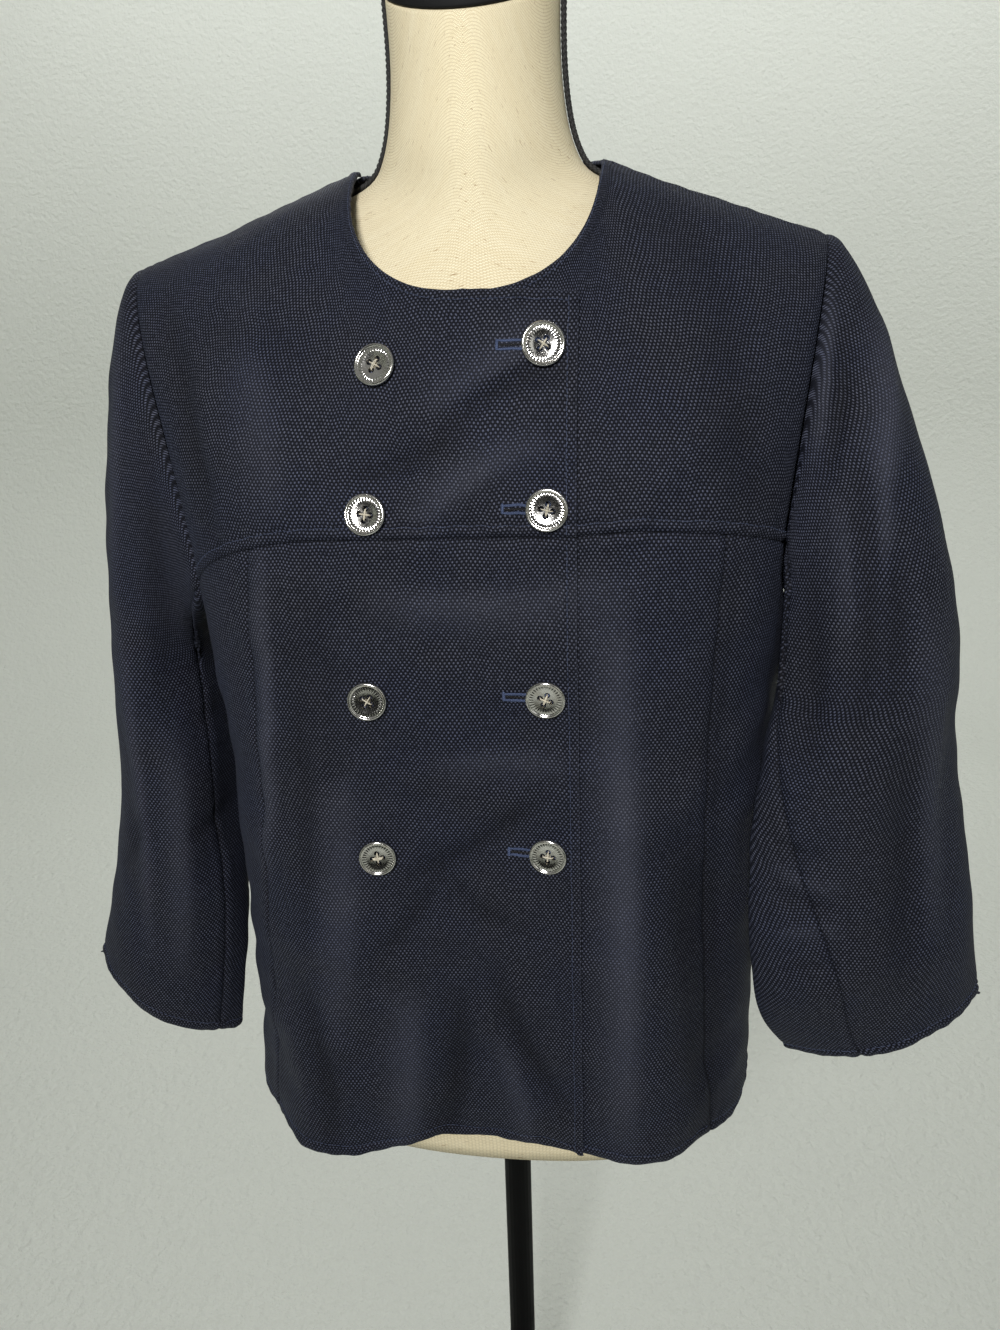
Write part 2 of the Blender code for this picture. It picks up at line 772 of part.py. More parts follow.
def form_point(angle, height):
    ring = read_rings(FORM_COLUMNS, FORM_RINGS, height)
    depth = ring["front"] if cos(angle) > 0 else ring["back"]
    x = ring["width"] * across(angle, ring["corner"])
    return np.array((x, SIDE_LINE_Y - depth * along(angle, ring["corner"]), height))


def slanted(points, lift=0.0):
    """A ring of the neck's top, tipped forward about its middle."""
    return [(x, y, z + lift + (y - SIDE_LINE_Y) * tan(NECK_SLANT)) for x, y, z in points]


def add_form(collection):
    """The form's torso, the slanted cap on its neck and the braid over its shoulders."""
    angles = [2 * pi * k / FORM_SIDES for k in range(FORM_SIDES)]
    rows = []
    for (below, *_), (above, *_) in zip(FORM_RINGS, FORM_RINGS[1:]):
        steps = max(2, round((above - below) / FORM_STEP))
        rows += [below + (above - below) * k / steps for k in range(steps)]
    grid = [[settled(form_point(angle, height)) for angle in angles] for height in rows]
    neck = [settled(form_point(angle, FORM_RINGS[-1][0])) for angle in angles]
    grid.append(slanted(neck))
    add_object("form_torso", grid_mesh("form_torso", np.array(grid), True), "cream_linen", collection)

    middle = np.mean(neck, axis=0)
    wide = [middle + (point - middle) * (1 + CAP_PROUD / 0.053) for point in neck]
    narrow = [middle + (point - middle) * 0.97 for point in neck]
    rings = [
        slanted(narrow, GAP),
        slanted(wide, GAP + 0.001),
        slanted(wide, CAP_THICKNESS - 0.002),
        slanted(narrow, CAP_THICKNESS),
    ]
    add_object("neck_cap", grid_mesh("neck_cap", np.array(rings), True), "black_cloth", collection)

    for name, side in (("left", -1), ("right", 1)):
        add_braid(name, side, collection)


def add_braid(name, side, collection):
    """A round braid on the form's side line, from under the cap over the shoulder."""
    top = FORM_RINGS[-1][0] - 0.004
    stand = BRAID_RADIUS + 3 * GAP
    points = []
    count = 26
    for k in range(count + 1):
        height = top + (BRAID_END - top) * k / count
        place = form_point(pi / 2, height)
        slope = form_point(pi / 2, height + 0.001) - form_point(pi / 2, height - 0.001)
        out = np.array((slope[2], 0.0, -slope[0]))
        point = place + stand * out / np.linalg.norm(out)
        point[0] *= side
        points.append(settled(point))
    curve = bpy.data.curves.new(f"braid_{name}", "CURVE")
    curve.dimensions = "3D"
    curve.bevel_depth = BRAID_RADIUS
    curve.bevel_resolution = 2
    curve.use_fill_caps = True
    spline = curve.splines.new("POLY")
    spline.points.add(len(points) - 1)
    for spot, point in zip(spline.points, points):
        spot.co = (*point, 1.0)
    add_object(f"braid_{name}", curve, "black_braid", collection)


def add_cylinder(name, radius, low, high, sides, collection):
    shape = bmesh.new()
    bmesh.ops.create_cone(
        shape,
        cap_ends=True,
        segments=sides,
        radius1=radius,
        radius2=radius,
        depth=high - low,
        matrix=Matrix.Translation((0, 0, (low + high) / 2)),
    )
    mesh = bpy.data.meshes.new(name)
    shape.to_mesh(mesh)
    shape.free()
    mesh.shade_smooth()
    mesh.set_sharp_from_angle(angle=radians(40))
    return add_object(name, mesh, "black_metal", collection)


def add_stand(collection):
    """A round base plate, the collar on it and the pole up to the form's foot."""
    base = add_cylinder("base_plate", BASE_RADIUS, 0.0, BASE_HEIGHT, 48, collection)
    rounded = base.modifiers.new("rounded", "BEVEL")
    rounded.width = 0.003
    rounded.segments = 2
    foot = BASE_HEIGHT + GAP
    collar_top = foot + COLLAR_HEIGHT
    add_cylinder("base_collar", COLLAR_RADIUS, foot, collar_top, 24, collection)
    add_cylinder("pole", POLE_RADIUS, collar_top + GAP, FORM_FOOT - 2 * GAP, 20, collection)


def main():
    for old in list(bpy.data.objects):
        bpy.data.objects.remove(old)
    collection = bpy.data.collections.new("jacket_on_form")
    cutters = bpy.data.collections.new("cutters")
    for added in (collection, cutters):
        bpy.context.scene.collection.children.link(added)
    add_fronts(collection)
    add_back(collection)
    add_sleeves(collection)
    add_buttons(collection, cutters)
    add_form(collection)
    add_stand(collection)


main()
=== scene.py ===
import json
from math import cos, pi, radians, sin, sqrt, tan

import bmesh
import bpy
import numpy as np
from mathutils import Matrix, Vector
from mathutils.bvhtree import BVHTree

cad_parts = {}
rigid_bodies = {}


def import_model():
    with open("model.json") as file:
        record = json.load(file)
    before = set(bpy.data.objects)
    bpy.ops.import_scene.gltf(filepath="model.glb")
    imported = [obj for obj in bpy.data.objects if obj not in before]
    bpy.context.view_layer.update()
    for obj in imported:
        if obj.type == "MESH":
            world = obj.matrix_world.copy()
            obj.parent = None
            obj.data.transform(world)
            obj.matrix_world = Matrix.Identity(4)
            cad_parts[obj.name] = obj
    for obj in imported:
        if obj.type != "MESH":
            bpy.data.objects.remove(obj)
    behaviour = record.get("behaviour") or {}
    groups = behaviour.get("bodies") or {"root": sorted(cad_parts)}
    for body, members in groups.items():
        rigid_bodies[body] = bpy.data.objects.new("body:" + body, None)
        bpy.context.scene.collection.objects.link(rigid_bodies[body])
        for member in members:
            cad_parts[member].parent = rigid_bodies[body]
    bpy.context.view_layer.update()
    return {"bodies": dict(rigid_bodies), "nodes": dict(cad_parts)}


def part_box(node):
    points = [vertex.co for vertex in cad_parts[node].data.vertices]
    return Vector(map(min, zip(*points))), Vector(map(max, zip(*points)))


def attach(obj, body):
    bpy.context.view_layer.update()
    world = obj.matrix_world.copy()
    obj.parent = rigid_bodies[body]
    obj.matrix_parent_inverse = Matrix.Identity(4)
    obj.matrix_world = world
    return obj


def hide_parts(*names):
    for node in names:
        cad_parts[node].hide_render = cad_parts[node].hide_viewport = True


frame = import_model()
rideOn = next(iter(frame["bodies"]))

# camera: where it stood, its turns and its lens, worked out from the picture
cameraSet = {
    "place": (0.0974, -0.6932, 1.21),
    "azimuth": 8.0,
    "pan": 0.003,
    "pitch": 20.0,
    "roll": 1.78,
    "lens": 1000 * 36 / 1330,
}


def cameraAxes():
    side = Vector((cos(radians(cameraSet["azimuth"])), sin(radians(cameraSet["azimuth"])), 0))
    ahead = Vector((-side.y, side.x, 0))
    pan = cameraSet["pan"]
    ahead, side = ahead * cos(pan) - side * sin(pan), side * cos(pan) + ahead * sin(pan)
    pitch, roll = radians(cameraSet["pitch"]), radians(cameraSet["roll"])
    up = Vector((0, 0, 1))
    look = ahead * cos(pitch) - up * sin(pitch)
    over = up * cos(pitch) + ahead * sin(pitch)
    return side * cos(roll) - over * sin(roll), over * cos(roll) + side * sin(roll), look


def placeCamera():
    right, over, look = cameraAxes()
    data = bpy.data.cameras.new("photoCamera")
    data.sensor_width = 36
    data.lens = cameraSet["lens"]
    data.clip_start = 0.02
    made = bpy.data.objects.new("photoCamera", data)
    turn = Matrix((right, over, -look)).transposed().to_4x4()
    made.matrix_world = Matrix.Translation(cameraSet["place"]) @ turn
    bpy.context.scene.collection.objects.link(made)
    bpy.context.scene.camera = made


# surfaces of the jacket, as its solids but fuller at the right side, beside the sleeve ("full...")
body = {
    "lean": 0.008,
    "askew": 0.012,
    "foot": 0.576,
    "columns": ("height", "width", "shift", "front", "back", "flareLeft", "flareRight"),
    "rings": (
        (0.600, 0.202, -0.008, 0.107, 0.150, 0.041, 0.028),
        (0.760, 0.196, -0.004, 0.117, 0.136, 0.021, 0.014),
        (0.910, 0.194, -0.003, 0.121, 0.124, 0.010, 0.009),
        (1.040, 0.201, -0.001, 0.124, 0.119, 0.008, 0.008),
        (1.120, 0.206, 0.000, 0.122, 0.118, 0.005, 0.005),
    ),
    "corner": 0.08,
    "sideLine": 0.004,
    "flareAngle": radians(27),
    "flareSpread": radians(15),
    "flareWidens": 0.35,
    "hem": 0.611,
    "underarm": 1.005,
    "frontNotch": radians(62),
    "backNotch": radians(118),
    "backNotchHeight": 1.072,
    "yoke": 1.079,
    "yokeFlat": radians(18),
    "yokeDropLeft": 0.042,
    "yokeDropRight": 0.020,
    "yokeStep": 0.003,
    "yokeBend": 1.6,
    "shoulderLeft": 0.234,
    "shoulderRight": 0.216,
    "shoulderTip": 1.241,
    "shoulderY": 0.006,
    "napeRise": 0.012,
    "napeSpread": 0.060,
    "frontOver": 0.75,
    "backOver": 1.20,
    "overRise": 0.12,
    "neckHalf": 0.078,
    "neckTop": 1.288,
    "neckDepth": 0.074,
    "neckBend": 2.5,
    "napeDepth": 0.060,
    "lapReach": 0.067,
    "underLapReach": 0.056,
    "lapNeckDrop": 0.0045,
    "lapLift": 0.0028,
    "lapFade": (radians(19), radians(37)),
    "fullSize": 0.0102,
    "fullAt": radians(88),
    "fullSpread": radians(22),
    "fullLow": (0.74, 0.84),
    "fullHigh": (1.000, 1.055),
    "princessHeights": (0.611, 0.910, 1.079),
    "princessLeft": (radians(45), radians(39), radians(32)),
    "princessRight": (radians(46), radians(40), radians(38.5)),
}

# as the solids but sharper at the cuffs, and with the right sleeve's front seam nearer the picture's
sleeves = {
    "columns": ("height", "out", "y", "halfX", "halfY", "turn", "tilt", "pinch", "rear"),
    "left": (
        (0.960, 0.251, 0.000, 0.038, 0.072, 0, 4, 0.05, 1.0),
        (0.860, 0.256, -0.010, 0.046, 0.062, 0, 10, 0.10, 1.0),
        (0.770, 0.267, -0.022, 0.054, 0.048, 0, 17, 0.25, 1.0),
        (0.715, 0.277, -0.029, 0.057, 0.041, 0, 23, 0.45, 1.0),
        (0.672, 0.288, -0.032, 0.057, 0.036, 0, 31, 0.65, 1.0),
    ),
    "right": (
        (0.960, 0.2475, -0.054, 0.063, 0.060, 28, 3, 0.30, 0.7),
        (0.860, 0.2500, -0.070, 0.078, 0.042, 21, 8, 0.40, 1.0),
        (0.770, 0.2620, -0.082, 0.078, 0.038, 16, 12, 0.35, 1.0),
        (0.740, 0.2690, -0.079, 0.074, 0.035, 12, 15, 0.50, 1.0),
        (0.712, 0.2800, -0.075, 0.066, 0.032, 8, 18, 0.65, 1.0),
    ),
    "marks": {
        "left": ((150, 180, 210), (143, 180, 217), 1.0),
        "right": ((182, 230, 275), (112, 180, 235), 2.2),
    },
    "push": {"left": 0.0, "right": 1.0},
    "leaves": 0.35,
    "drops": (-0.10, -0.25),
    "swell": 0.34,
    "leastSwell": 0.045,
}


def smoothColumn(xs, ys, x):
    xs, ys = np.asarray(xs, float), np.asarray(ys, float)
    count = len(xs)
    system, right = np.eye(count), np.zeros(count)
    for k in range(1, count - 1):
        before, after = xs[k] - xs[k - 1], xs[k + 1] - xs[k]
        system[k, k - 1 : k + 2] = before, 2 * (before + after), after
        right[k] = 6 * ((ys[k + 1] - ys[k]) / after - (ys[k] - ys[k - 1]) / before)
    bend = np.linalg.solve(system, right)
    x = np.asarray(x, float)
    k = np.clip(np.searchsorted(xs, x) - 1, 0, count - 2)
    step = xs[k + 1] - xs[k]
    inside = np.clip(x, xs[0], xs[-1])
    a, b = (xs[k + 1] - inside) / step, (inside - xs[k]) / step
    value = a * ys[k] + b * ys[k + 1]
    value = value + ((a**3 - a) * bend[k] + (b**3 - b) * bend[k + 1]) * step**2 / 6
    slope = (ys[k + 1] - ys[k]) / step
    slope = slope + ((3 * b * b - 1) * bend[k + 1] - (3 * a * a - 1) * bend[k]) * step / 6
    return value + slope * (x - inside)


def readRings(columns, rings, height):
    table = np.array(sorted(rings), float)
    return {name: smoothColumn(table[:, 0], table[:, k], height) for k, name in enumerate(columns)}


def ease(value, low, high):
    share = np.clip((value - low) / (high - low), 0.0, 1.0)
    return share * share * (3 - 2 * share)


def hermite(start, leave, end, arrive, share):
    s = np.asarray(share)[..., None]
    return (
        (2 * s**3 - 3 * s**2 + 1) * start
        + (s**3 - 2 * s**2 + s) * leave
        + (3 * s**2 - 2 * s**3) * end
        + (s**3 - s**2) * arrive
    )


def crossing(test, low, high):
    low, high = np.array(low, float), np.array(high, float)
    for _ in range(40):
        middle = (low + high) / 2
        under = test(middle) < 0
        low, high = np.where(under, middle, low), np.where(under, high, middle)
    return (low + high) / 2


def length3(vector):
    return np.sqrt((vector**2).sum(-1, keepdims=True))


def pointOf(x, y, z):
    return np.stack(np.broadcast_arrays(x, y, z), -1).astype(float)


def across(angle, corner=0.08):
    return (np.sin(angle) + corner * np.sin(3 * angle)) / (1 - corner)


def along(angle, corner=0.08):
    return (np.cos(angle) - corner * np.cos(3 * angle)) / (1 - corner)


def settled(point):
    x, y, z = point[..., 0], point[..., 1], point[..., 2]
    return pointOf(x - body["lean"] * (z - body["foot"]), y, z + body["askew"] * x)


def skirt(angle, height):
    angle, height = np.broadcast_arrays(angle, height)
    ring = readRings(body["columns"], body["rings"], height)
    depth = np.where(np.cos(angle) > 0, ring["front"], ring["back"])
    left = ring["flareLeft"] * np.exp(-(((angle + body["flareAngle"]) / body["flareSpread"]) ** 2))
    right = ring["flareRight"] * np.exp(-(((angle - body["flareAngle"]) / body["flareSpread"]) ** 2))
    flare = left + right
    x = ring["shift"] + ring["width"] * across(angle) + body["flareWidens"] * flare * np.sin(angle)
    full = np.exp(-(((angle - body["fullAt"]) / body["fullSpread"]) ** 2)) * ease(height, *body["fullLow"])
    full = body["fullSize"] * full * (1 - ease(height, *body["fullHigh"]))
    y = body["sideLine"] - depth * along(angle) - (flare + full) * np.cos(angle)
    return pointOf(x + full * np.sin(angle), y, height)


def yokeHeight(angle):
    side = np.maximum(np.abs(angle) - body["yokeFlat"], 0) / (body["frontNotch"] - body["yokeFlat"])
    drop = np.where(np.asarray(angle) > 0, body["yokeDropRight"], body["yokeDropLeft"])
    step = body["yokeStep"] * ease(angle, radians(14), radians(24))
    return body["yoke"] + step - drop * side ** body["yokeBend"]


def shoulder(angle):
    angle = np.asarray(angle, float)
    turned = np.where(np.abs(angle) > pi / 2, pi - np.abs(angle), np.abs(angle))
    notch = np.where(np.abs(angle) < pi / 2, body["frontNotch"], pi - body["backNotch"])
    half = np.where(angle > 0, body["shoulderRight"], body["shoulderLeft"])
    x = half * across(turned) / across(notch)
    slope = (body["neckTop"] - body["shoulderTip"]) / (half - body["neckHalf"])
    z = body["shoulderTip"] + (half - x) * slope
    z = z + body["napeRise"] * np.exp(-((x / body["napeSpread"]) ** 2))
    return pointOf(np.where(angle > 0, x, -x), body["shoulderY"], z)


def upper(angle, share, foot, over):
    angle, share, foot = np.broadcast_arrays(angle, share, foot)
    start, end = skirt(angle, foot), shoulder(angle)
    span = length3(end - start)
    rising = (skirt(angle, foot + 0.002) - skirt(angle, foot - 0.002)) / 0.004
    arriving = np.array((0.0, 1.0, body["overRise"])) * over
    return hermite(start, rising * span, end, arriving * span, share)


def frontTop(angle, share):
    return upper(angle, share, yokeHeight(angle), body["frontOver"])


def backTop(angle, share):
    return upper(angle, share, body["backNotchHeight"], -body["backOver"])


def armholeHeight(angle):
    angle = np.asarray(angle, float)
    turned = np.abs(angle)
    front = turned <= pi / 2
    notch = np.where(front, body["frontNotch"], body["backNotch"])
    frontHeight = np.where(angle > 0, yokeHeight(body["frontNotch"]), yokeHeight(-body["frontNotch"]))
    top = np.where(front, frontHeight, body["backNotchHeight"])
    share = np.clip((turned - notch) / (pi / 2 - notch), 0.0, 1.0)
    return body["underarm"] + (top - body["underarm"]) * (1 - np.sqrt(share * (2 - share)))


def neckHeight(x):
    share = np.minimum(np.abs(x) / body["neckHalf"], 1.0)
    top = body["neckTop"] + body["napeRise"] * np.exp(-((body["neckHalf"] / body["napeSpread"]) ** 2))
    return top - body["neckDepth"] * (1 - share ** body["neckBend"]) ** (1 / body["neckBend"])


def frontNeckShare(angle, lapSide):
    angle = np.asarray(angle, float)
    acrossNeck = shoulder(angle)[..., 0]

    def over(share):
        point = frontTop(angle, share)
        x, z = point[..., 0], point[..., 2]
        onLap = z - neckHeight(0) + body["lapNeckDrop"] * (x / body["lapReach"]) ** 2
        return np.where(x * lapSide > 0, onLap, z - neckHeight(acrossNeck))

    found = crossing(over, np.zeros(angle.shape), np.ones(angle.shape))
    return np.where(np.abs(acrossNeck) >= body["neckHalf"], 1.0, found)


def neckAngle(side):
    test = lambda a: np.abs(shoulder(side * a)[..., 0]) - body["neckHalf"]
    return float(side * crossing(test, 0.05, body["frontNotch"]))


def lapAngle(surface, lowOf, highOf, row, side):
    reach = body["lapReach"] if side > 0 else body["underLapReach"]
    row = np.asarray(row, float)

    def beyond(size):
        angle = side * size
        low = lowOf(angle)
        return np.abs(surface(angle, low + (highOf(angle) - low) * row)[..., 0]) - reach

    return side * crossing(beyond, np.full(row.shape, radians(5)), np.full(row.shape, radians(30)))


def princessAngle(side, height):
    angles = body["princessRight"] if side > 0 else body["princessLeft"]
    return side * smoothColumn(body["princessHeights"], angles, height)


def frontTopEdge(side):
    # the yoke's upper edge from the armhole over the shoulder and down the neckline to the lap
    lapSide = -side
    outer = np.linspace(side * body["frontNotch"], neckAngle(side), 120)
    turn = np.linspace(0, pi / 2, 160)[1:]
    x = body["neckHalf"] * np.cos(turn) ** (2 / body["neckBend"])
    drop = body["neckDepth"] * np.sin(turn) ** (2 / body["neckBend"])
    half = body["shoulderRight"] if side > 0 else body["shoulderLeft"]
    far = 0 * x + abs(neckAngle(side)) + 0.01
    inner = side * crossing(lambda a: np.abs(shoulder(side * a)[..., 0]) - x, 0 * x, far)
    z = neckHeight(body["neckHalf"]) - drop
    share = crossing(lambda s: frontTop(inner, s)[..., 2] - z, 0 * x, 0 * x + 1)
    lapEnd = float(lapAngle(frontTop, fixed(0.0), lambda a: frontNeckShare(a, lapSide), 1.0, lapSide))
    lap = np.linspace(0, lapEnd, 60)[1:]
    angle = np.concatenate((outer, inner, lap))
    share = np.concatenate((0 * outer + 1, share, frontNeckShare(lap, lapSide)))
    return angle, share, len(outer)


def fixed(value):
    return lambda row: value + 0 * np.asarray(row, float)


def arcOf(points):
    return np.concatenate(([0], np.cumsum(np.sqrt((np.diff(points, axis=0) ** 2).sum(-1)))))


def runAlong(points, axis):
    # how far each point of a grid lies from its row's or column's first one
    first = np.take(points, [0], axis)
    return np.cumsum(np.sqrt((np.diff(points, axis=axis, prepend=first) ** 2).sum(-1)), axis)


def yokePatch(side, rows, lift):
    # columns run from points on the yoke seam to points on the shoulder and the neckline
    lapSide = -side
    topAngle, topShare, corner = frontTopEdge(side)
    run = arcOf(frontTop(topAngle, topShare))
    neckRun = run[corner - 1]
    first = spacing(neckRun) * neckRun
    second = neckRun + spacing(run[-1] - neckRun) * (run[-1] - neckRun)
    at = np.concatenate((first, second[1:]))
    endAngle, endShare = np.interp(at, run, topAngle), np.interp(at, run, topShare)
    lapBottom = float(lapAngle(frontTop, fixed(0.0), lambda a: frontNeckShare(a, lapSide), 0.0, lapSide))
    lowAngle = np.linspace(side * body["frontNotch"], lapBottom, 400)
    lowRun = arcOf(frontTop(lowAngle, 0 * lowAngle))
    lowAt = at / run[-1] * lowRun[-1]
    startAngle = np.interp(lowAt, lowRun, lowAngle)
    row = np.asarray(rows)[:, None]
    angle = startAngle + (endAngle - startAngle) * row
    lapTrue = lapAngle(frontTop, fixed(0.0), lambda a: frontNeckShare(a, lapSide), rows, lapSide)
    weight = ease(at / run[-1], 0.55, 1.0)[None]
    angle = angle + weight * (lapTrue[:, None] - angle[:, -1:])
    share = endShare[None] * row
    points = frontTop(angle, share)
    if lift:
        points = points + lift(angle)[..., None] * gridNormal(points) * side * -1
    return settled(points), at <= neckRun + 1e-9


def lapLift(angle):
    return body["lapLift"] * (1 - ease(-angle, *body["lapFade"]))


def backSurface(angle, up):
    angle = np.where(np.abs(angle) > pi, angle - 2 * pi, angle)
    onTop = up > body["backNotchHeight"]
    below = skirt(angle, np.minimum(up, body["backNotchHeight"]))
    above = backTop(angle, np.maximum(up - body["backNotchHeight"], 0.0))
    return np.where(onTop[..., None], above, below)


def armholePoint(side, place):
    place = np.asarray(place, float) % 4
    part = np.minimum(place.astype(int), 3)
    share = place - part
    front, back, arm = body["frontNotch"], body["backNotch"], pi / 2
    second = side * (front + (arm - front) * share)
    third = side * (arm + (back - arm) * share)
    choices = (
        frontTop(side * front, 1 - share),
        skirt(second, armholeHeight(second)),
        skirt(third, armholeHeight(third)),
        backTop(side * back, share),
    )
    return settled(sum(np.where((part == k)[..., None], choice, 0) for k, choice in enumerate(choices)))


def sleeveAngle(name, place, down):
    place = np.asarray(place, float) % 4
    part = np.minimum(place.astype(int), 3)
    share = place - part
    # front seam, underarm and back seam, at the top and at the cuff
    tops, cuffs, fade = sleeves["marks"][name]
    still, share = np.broadcast_arrays((1 - np.asarray(down, float)) ** fade, share)
    inner = [np.radians(cuff + (top - cuff) * still) for top, cuff in zip(tops, cuffs)]
    marks = np.stack((0 * still, *inner, 2 * pi + 0 * still))
    low = np.take_along_axis(marks, np.broadcast_to(part, still.shape)[None], 0)[0]
    high = np.take_along_axis(marks, np.broadcast_to(part + 1, still.shape)[None], 0)[0]
    return low + (high - low) * share


def sleeveRing(name, side, place, down):
    place, down = np.broadcast_arrays(np.asarray(place, float), np.asarray(down, float))
    angle = sleeveAngle(name, place, down)
    rings = sleeves[name]
    top, bottom = rings[0][0], rings[-1][0]
    ring = readRings(sleeves["columns"], rings, top + (bottom - top) * down)
    out = ring["halfX"] * np.cos(angle)
    back = -ring["halfY"] * np.sin(angle) * (np.abs(np.sin(angle)) + 1e-9) ** ring["pinch"]
    back = back * np.where(back > 0, ring["rear"], 1.0)
    turn = np.radians(ring["turn"])
    x = ring["out"] + out * np.cos(turn) - back * np.sin(turn)
    y = ring["y"] + out * np.sin(turn) + back * np.cos(turn)
    z = ring["height"] + (x - ring["out"]) * np.tan(np.radians(ring["tilt"]))
    return settled(pointOf(side * x, y, z))


def sleeveHead(name, side, place, share):
    place, share = np.broadcast_arrays(np.asarray(place, float), np.asarray(share, float))
    angle = sleeveAngle(name, place, 0.0)
    drop = sleeves["drops"][0] + sleeves["drops"][1] * (1 - np.cos(angle)) / 2
    push = sleeves["push"][name] * np.exp(-(((place % 4 - 1) / 0.40) ** 2))
    ahead = -sleeves["leaves"] * np.sin(angle) - 0.50 * push
    leave = pointOf(side * (1 - 0.75 * push), ahead, drop - 0.40 * push)
    leave /= length3(leave)
    start = armholePoint(side, place)
    end = sleeveRing(name, side, place, 0.0)
    span = length3(end - start)
    falling = sleeveRing(name, side, place, 0.02) - end
    falling /= length3(falling)
    leave = leave * np.maximum(sleeves["swell"] * span, sleeves["leastSwell"])
    return hermite(start, leave, end, falling * span, share)


def sleeveSurface(name, side, place, down):
    # down runs 0 to 1 over the head and 1 to 2 down to the cuff
    head = sleeveHead(name, side, place, np.clip(down, 0, 1))
    arm = sleeveRing(name, side, place, np.clip(down - 1, 0, 1))
    return np.where((down > 1)[..., None], arm, head)


# shader maths: one class for values, one for a material being made
class Value:
    def __init__(self, paint, socket):
        self.paint, self.socket = paint, socket

    def __add__(self, other):
        return self.paint.maths("ADD", self, other)

    def __mul__(self, other):
        return self.paint.maths("MULTIPLY", self, other)

    def __sub__(self, other):
        return self.paint.maths("SUBTRACT", self, other)

    def __rsub__(self, other):
        return self.paint.maths("SUBTRACT", other, self)

    def __truediv__(self, other):
        return self.paint.maths("DIVIDE", self, other)

    def __pow__(self, other):
        return self.paint.maths("POWER", self, other)

    def __abs__(self):
        return self.paint.maths("ABSOLUTE", self)

    def __neg__(self):
        return self.paint.maths("MULTIPLY", self, -1.0)

    __radd__ = __add__
    __rmul__ = __mul__

    def floor(self):
        return self.paint.maths("FLOOR", self)

    def sin(self):
        return self.paint.maths("SINE", self)

    def cos(self):
        return self.paint.maths("COSINE", self)

    def clamp(self):
        return self.paint.node("ShaderNodeClamp", {}, {"Value": self})[0]

    def atLeast(self, other):
        return self.paint.maths("MAXIMUM", self, other)

    def between(self, low, high):
        inputs = {"Value": self, "From Min": low, "From Max": high}
        return self.paint.node("ShaderNodeMapRange", {"interpolation_type": "SMOOTHSTEP"}, inputs)[0]


class Paint:
    def __init__(self, name):
        self.material = bpy.data.materials.new(name)
        self.material.use_nodes = True
        self.tree = self.material.node_tree
        self.shader = self.tree.nodes["Principled BSDF"]

    def node(self, kind, settings=None, inputs=None):
        made = self.tree.nodes.new(kind)
        for key, value in (settings or {}).items():
            setattr(made, key, value)
        for key, value in (inputs or {}).items():
            self.put(made.inputs[key], value)
        return [Value(self, socket) for socket in made.outputs]

    def put(self, socket, value):
        if isinstance(value, Value):
            self.tree.links.new(value.socket, socket)
        else:
            if socket.type == "RGBA" and len(value) == 3:
                value = (*value, 1)
            socket.default_value = value

    def maths(self, operation, *values):
        return self.node("ShaderNodeMath", {"operation": operation}, dict(enumerate(values)))[0]

    def vector(self, operation, *values):
        return self.node("ShaderNodeVectorMath", {"operation": operation}, dict(enumerate(values)))[0]

    def mix(self, share, low, high, kind="MIX"):
        settings = {"data_type": "RGBA", "blend_type": kind}
        return self.node("ShaderNodeMix", settings, {0: share, 6: low, 7: high})[2]

    def place(self):
        return self.node("ShaderNodeTexCoord")[3]

    def uv(self):
        return self.node("ShaderNodeUVMap", {"uv_map": "cloth"})[0]

    def split(self, vector):
        return self.node("ShaderNodeSeparateXYZ", {}, {"Vector": vector})

    def join(self, x, y, z=0.0):
        return self.node("ShaderNodeCombineXYZ", {}, {"X": x, "Y": y, "Z": z})[0]

    def noise(self, vector, scale, detail=2.0, rough=0.5, colour=False):
        inputs = {"Vector": vector, "Scale": scale, "Detail": detail, "Roughness": rough}
        return self.node("ShaderNodeTexNoise", {}, inputs)[1 if colour else 0]

    def bump(self, height, distance, strength=1.0):
        inputs = {"Height": height, "Distance": distance, "Strength": strength}
        return self.node("ShaderNodeBump", {}, inputs)[0]

    def finish(self, **sockets):
        for key, value in sockets.items():
            self.put(self.shader.inputs[key.replace("_", " ")], value)
        return self.material


cloth = {
    "thick": 0.0013,
    "step": 0.0034,
    "near": (
        *(0, 0.0005, 0.0011, 0.0019, 0.0030, 0.0044, 0.0058),
        *(0.0072, 0.0084, 0.0096, 0.0115, 0.0145, 0.019),
    ),
    "coarse": 1.0,
    "swayHigh": 0.0009,
    "sleeveSway": 0.0008,
    "turnIn": 0.0024,
    "foldGain": 1.7,
    "foldFade": 0.0075,
    "puffWave": 0.016,
    "puckerWave": 0.011,
    "puckerWide": 0.013,
    "grooveWide": 0.0011,
    "shadeWide": 0.0010,
    "stitchShade": 0.20,
    "bodyStill": 0.030,
    "sleeveStill": 0.035,
}

